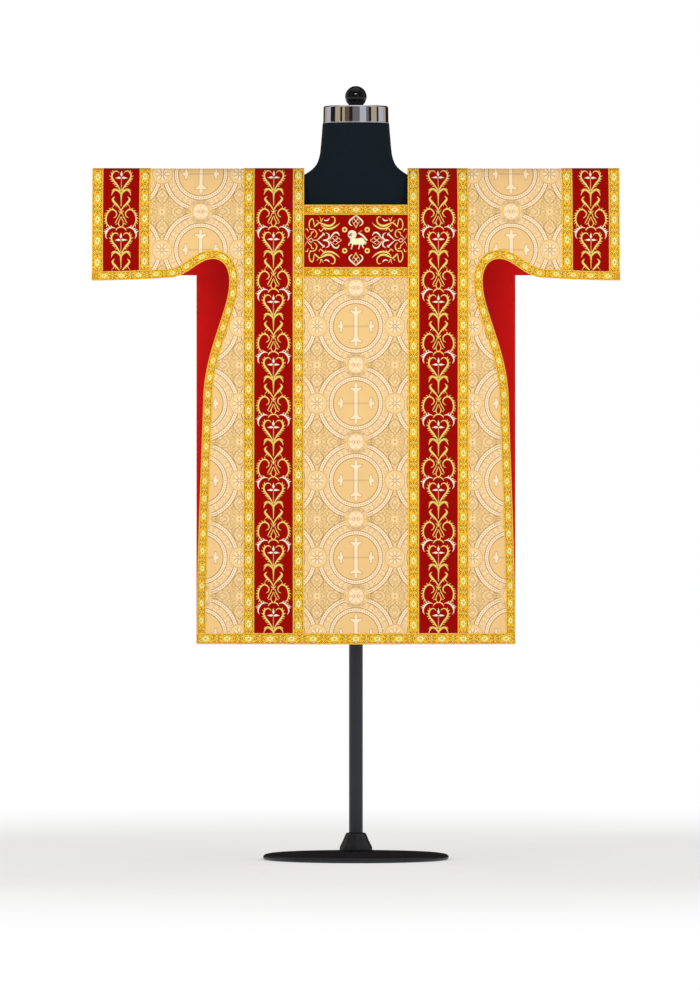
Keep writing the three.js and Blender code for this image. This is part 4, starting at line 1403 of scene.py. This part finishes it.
def yoke_work():
    """The panel's embroidery, drawn about its middle, x to the right and y down."""
    work = Relief(fullness=1.2)
    pair, four = [(-1, 1)], [(-1, 1), (1, -1), (-1, -1)]
    for knots, widths, thread, mirror in (
            # leafy sprays in the corners
            ([(95.5, -31), (90, -36.5), (84.4, -41.5)], (2.0, 3.6, 3.0), GOLD, four),
            ([(85, -41.5), (76, -37.5), (66.5, -33.5), (57, -34.5), (49.5, -41), (48.5, -49),
             (52.5, -54.5), (57.5, -53)], (2.4, 3.8, 5.6, 5.4, 4.0, 3.2, 2.6, 1.2), GOLD, four),
            ([(81, -36), (73, -29.5), (63, -26.5), (52, -29), (43, -34.5), (37, -40.5)],
             (1.0, 3.2, 4.4, 4.6, 3.2, 0.5), GOLD, four),
            ([(74, -47.5), (69, -45.5), (64.5, -46.5), (60.8, -51)], (0.8, 3.2, 3.4, 0.7), CREAM, four),
            ([(80.5, -43), (81, -49), (84, -54.5)], (2.0, 1.8, 0.5), GOLD, four),
            ([(79.5, -43), (77.5, -48), (74.5, -52.5)], (2.0, 1.8, 0.5), GOLD, four),
            ([(90.5, -47), (86, -43)], (0.5, 1.8, 1.6), GOLD, four),
            # loops and knots along both ends
            ([(95.8, -31), (97, -41), (100, -50), (105.5, -46), (108, -37), (106.5, -29), (102.5, -24)],
             (1.6, 2.0, 2.6, 2.8, 2.6, 2.2, 1.4), GOLD, four),
            ([(107, -24.5), (100.5, -25.5), (94, -23), (90.3, -16.5), (91.5, -9.5), (96.5, -5.8)],
             (1.2, 2.4, 2.6, 2.8, 2.4, 1.4), GOLD, four),
            ([(97, -19.5), (102, -18), (103, -12.5), (108.5, -7.5), (113, -2)], (2.6, 2.4, 2.0, 1.8, 1.0),
             GOLD, four),
            ([(117.3, -24.5), (112.5, -26), (109.5, -19)], (0.8, 2.4, 0.8), GOLD, four),
            ([(117.6, -15), (115.5, -7), (109, -0.5), (103, 5)], (1.0, 1.8, 1.8, 1.4), ROSE, four),
            ([(109, 0), (103.5, -4.6), (98, 0)], (1.5, 1.7, 1.5), CREAM, four),
            ([(98, 0), (93.5, 0), (88.3, 0)], (1.4, 2.6, 3.2), GOLD, pair),
            # arrows and brackets
            ([(88.5, -1), (81, -8), (74, -14.6)], (1.8, 3.2, 3.4), CREAM, four),
            ([(78, -17.2), (73.2, -15), (72.6, -10.4)], (0.8, 2.2, 0.8), CREAM, four),
            ([(85.5, -26), (81, -20.5), (76.5, -25), (72.5, -27.5), (68.5, -22)],
             (1.2, 2.6, 2.4, 2.6, 0.8), GOLD, four),
            ([(69.5, -17.5), (63.5, -14), (61.8, -7.5), (65, -2), (76, 0)], (0.8, 3.0, 3.6, 3.2, 2.0),
             CREAM, four),
            # pointed frames with a net of lozenges: at both ends of the middle, then above and below it
            ([(60.5, -3), (56, -9.5), (50, -16.5), (43, -17.5), (37.5, -10.5)], (1.2, 3.0, 3.8, 3.8, 0.9),
             CREAM, four),
            ([(61.5, 0), (54.5, -6), (47.5, -10.5)], (1.8, 1.9, 1.2), ROSE, four),
            ([(33, 0), (39.5, -4.4), (47, -10)], (1.4, 1.9, 1.2), GOLD, four),
            ([(54.5, -5.5), (47.5, 0), (41, 5)], (1.5, 1.6, 1.5), CREAM, four),
            ([(0, -58.5), (7, -52), (13, -46.5), (15.5, -40.5), (12.5, -35.5), (8, -33)],
             (1.2, 3.0, 3.8, 3.8, 3.0, 0.9), CREAM, four),
            ([(0, -56), (4.6, -50), (8.5, -44.5)], (1.8, 1.9, 1.2), ROSE, four),
            ([(0, -28.5), (2.2, -33.5), (8.5, -43.5)], (2.0, 1.9, 1.2), GOLD, four),
            ([(-4.5, -50), (0, -44), (4.8, -38.5)], (1.5, 1.6, 1.5), CREAM, four),
    ):
        work.stroke(knots, widths, thread, mirror=mirror)
    # rings round the lamb
    work.stroke(ring(26, -24.4, 4.4, 16), (4.0, 4.0), GOLD, mirror=four, step=1.4)
    # the lamb, standing, its head turned back to the pennon
    work.patch(ring(-8.8, -13.2, 10.4, 32)[:-1], CREAM, 0.45, soft=1.5)
    fleece = [(-5.5, -8.5), (-1.5, -4.8), (5, -4.6), (12, -6), (17.5, -4), (20.5, 1), (20.8, 6.5), (18, 10),
              (13.5, 10.8), (8.5, 9.4), (2.5, 10.6), (-3.5, 10.2), (-9, 8.6), (-12.8, 4.6), (-13.6, -1),
              (-12, -7)]
    work.patch(smooth_line([*fleece, fleece[0]], 1.4)[:-1], PALE, 1.3, lay=0.6)
    for leg in ([(-12, 5), (-15.5, 8), (-16.8, 12.6)], [(-7.5, 8), (-8.8, 14), (-11, 20.6)],
                [(9, 9), (7.6, 14), (6, 20.6)], [(15, 8.5), (15.4, 13), (17.6, 18.6)]):
        work.stroke(leg, (4.6, 3.2, 2.6, 2.8), PALE)
    work.stroke([(19.5, 2), (22.4, 5.5), (21.8, 10.5)], (2.8, 3.4, 1.4), PALE)
    head = [(-6.5, -8.5), (-5.2, -13), (-7.6, -17), (-11, -17.6), (-14, -15), (-16.4, -11.2), (-15.2, -9),
            (-11.5, -9.2), (-9.5, -6.5)]
    work.patch(smooth_line([*head, head[0]], 1.3)[:-1], PALE, 1.5, grid=1.3)
    work.stroke([(-5.8, -15.5), (-2.8, -14.4), (-2.2, -11.4)], (1.6, 2.4, 0.8), LEAF)
    work.stroke([(-11.6, -14.1), (-10.2, -14.1)], (1.0, 1.2, 1.0), LEAF, step=0.7, rise=3.4)
    for x, y in ((-9.5, -1), (-4, 1.5), (2, -0.5), (8, 1), (14, -0.5), (-1, 6.4), (6, 6), (12.5, 5.4),
                 (-8.5, 4.6)):
        curl = [(x - 1.6, y + 1), (x, y - 1), (x + 1.7, y + 0.8)]
        work.stroke(curl, (0.4, 0.9, 0.4), LEAF, step=0.9, rise=3.4)
    work.stroke([(14.5, -23.5), (9.5, -19), (4.4, -13.8)], (1.0, 1.6, 1.4), GOLD)
    work.stroke([(5.5, -16.4), (12, -13.4), (18, -8.4), (22, -3), (26, 0.6)], (2.6, 4.6, 4.4, 4.6, 3.4),
                CREAM)
    return work.mesh("yoke_embroidery")


yoke_mesh = yoke_work()
yoke_mesh.transform(Matrix.Translation((0.0, YOKE_MIDDLE, 0.0)))
cut_off(yoke_mesh, yoke_top + TRIM, -1)
cut_off(yoke_mesh, yoke_foot - TRIM, 1)
lay_on_cloth(yoke_mesh, [BandLane("front", 0.0)], EMBROIDERY_LIFT)
yoke_piece = carried("yoke_embroidery", yoke_mesh, silk)
sheet_of(yoke, "red_satin", "yoke", flat=(high.x - low.x, fall_length("front", 0.0, yoke_top, yoke_foot)),
         rests_on=["front"], with_pieces=[yoke_piece])


# ------------------------------------------------------------------ the dress form
# A limbless padded body in black jersey, with a chromed cap on the neck and a glossy black ball. A board
# closes it below, and a steel tube holds it in the socket of a heavy round base.

AROUND = 96  # points round each section
BODY_MIDDLE = -0.005  # the y of the torso's side seams
RIBS, ROWS = 420.0, 4200.0  # the jersey's ribs round the body, and its rows in radians to the metre


def sections_of(node_name):
    """A turned or oval part's sections from the bottom up: height, half width, half depth, middle."""
    places = np.array([tuple(v.co) for v in bpy.data.objects[node_name].data.vertices])
    found = []
    for z in np.unique(np.round(places[:, 2], 4)):
        x, y, _ = places[np.abs(places[:, 2] - z) < 1e-4].T
        found.append((z, np.ptp(x) / 2, np.ptp(y) / 2, (y.max() + y.min()) / 2))
    return np.array([row for row in found if row[1] > 0.001])


def rounded(sections, radius, steps=5):
    """The same sections with every corner between two straight lines of the outline eased."""
    eased = [sections[0]]
    for before, corner, after in zip(sections, sections[1:], sections[2:]):
        ins, outs = before - corner, after - corner
        reach = [min(radius / np.linalg.norm(way[:2]), 0.45) for way in (ins, outs)]
        start, end = corner + ins * reach[0], corner + outs * reach[1]
        t = np.linspace(0, 1, steps)[:, None]
        eased += list((1 - t) ** 2 * start + 2 * t * (1 - t) * corner + t ** 2 * end)
    return np.array([*eased, sections[-1]])


def oval_body(name, sections, material):
    """A closed body through oval sections. It takes its node's place."""
    turns = np.arange(AROUND) * 2 * math.pi / AROUND
    rings = [np.stack([wide * np.cos(turns), middle + deep * np.sin(turns), np.full(AROUND, z)], -1)
             for z, wide, deep, middle in sections]
    mesh = bpy.data.meshes.new(name)
    mesh.from_pydata(np.concatenate(rings).tolist(), [], tube_faces(len(rings), AROUND, turned=True))
    smooth(mesh, 35)
    piece = put(name, mesh, material)
    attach(piece, "root")
    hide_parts(name)
    return piece


def hard_material(name, colour, rough, spread, metal, shine=0.5):
    """Metal, lacquer or moulded plastic, its roughness a little uneven with faint smears and specks."""
    material, tree = new_material(name)
    where = get(tree, "ShaderNodeTexCoord", "Object")
    uneven = noise(where, 14.0, 4.0, Distortion=1.2) * 0.7 + noise(where, 900.0, 1.0) * 0.3
    end_material(tree, Base_Color=colour, Metallic=metal, Specular_IOR_Level=shine,
                 Roughness=uneven * spread + (rough - spread / 2))
    return material


def jersey_material():
    """Black knitted jersey stretched over the padding: fine ribs that follow the body, and flat seams."""
    material, tree = new_material("black_jersey")
    where = get(tree, "ShaderNodeTexCoord", "Object")
    x, y, z = apart(where)
    ribs, rows = sine(angle(y, x) * RIBS), sine(z * ROWS)
    fuzz, patches = noise(where, 700.0, 3.0), noise(where, 6.0, 3.0)
    seam = most(*(stripe(way, middle, 0.0009, 0.0004) for way, middle in ((x, 0.0), (y, BODY_MIDDLE))))
    height = ribs * 0.3 + rows * 0.2 + fuzz - seam * 3.0
    black = blend(patches, rgb(23, 30, 35), rgb(29, 37, 43))
    end_material(tree, Base_Color=black, Roughness=fuzz * 0.2 + 0.7, Normal=bumped(height, 0.35, 0.0004),
                 Specular_IOR_Level=0.06)
    return material


def smooth_sections(sections, step):
    """Sections along one smooth curve through the given ones."""
    way = smooth_line(sections[:, :2] * 1000, step) / 1000
    order = np.argsort(sections[:, 0])
    deep, middle = (np.interp(way[:, 0], *smooth_line(sections[order][:, (0, i)] * 1000, step).T / 1000)
                    for i in (2, 3))
    return np.column_stack([way, deep, middle])


jersey = jersey_material()
chrome = hard_material("polished_chrome", rgb(214, 214, 216), rough=0.05, spread=0.04, metal=1.0)
gloss = hard_material("glossy_black", rgb(9, 11, 13), rough=0.06, spread=0.03, metal=0.0, shine=0.3)
steel = hard_material("dark_steel", rgb(66, 68, 72), rough=0.4, spread=0.16, metal=0.9)

torso = smooth_sections(sections_of("form_torso"), 8.0)
oval_body("form_torso", torso, jersey)

# The cap has a low bead round its foot. Its last section lies inside the flat top, so that the edge is eased.
foot, rim, top = sections_of("form_neck_cap")
bead = [foot, foot + (0.0004, 0.0005, 0.0005, 0), foot + (0.0024, 0.0005, 0.0005, 0),
        foot + (0.0028, 0, 0, 0)]
cap_outline = np.array([*bead, rim, top, top - (0, 0.012, 0.012, 0)])
oval_body("form_neck_cap", rounded(cap_outline, 0.0012), chrome)
for name, ease, material, slot in (("form_board", 0.002, gloss, "black_gloss"),
                                   ("form_post", 0.0008, steel, "dark_steel"),
                                   ("form_socket", 0.0025, steel, "dark_steel"),
                                   ("form_base", 0.003, steel, "dark_steel")):
    sections = sections_of(name)
    shut = [sections[0] * (1, 0.9, 0.9, 1), *sections, sections[-1] * (1, 0.9, 0.9, 1)]
    oval_body(name, rounded(np.array(shut), ease), material)

low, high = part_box("form_finial")
ball = (high.x - low.x) / 2
ball_foot, ball_neck, *_ = sections_of("form_finial")[0]
turns = np.linspace(-math.acos(ball_neck / ball), math.pi / 2, 40)[:-1]
across = ball * np.cos(turns)
middle = (low.y + high.y) / 2
ball_sections = np.column_stack([high.z - ball + ball * np.sin(turns), across, across,
                                 np.full(len(turns), middle)])
collar = [(ball_foot, ball_neck, ball_neck, middle)]
finial = oval_body("form_finial", np.concatenate([collar, ball_sections]), gloss)
light_only(glint_lamp, finial)

low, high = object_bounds()
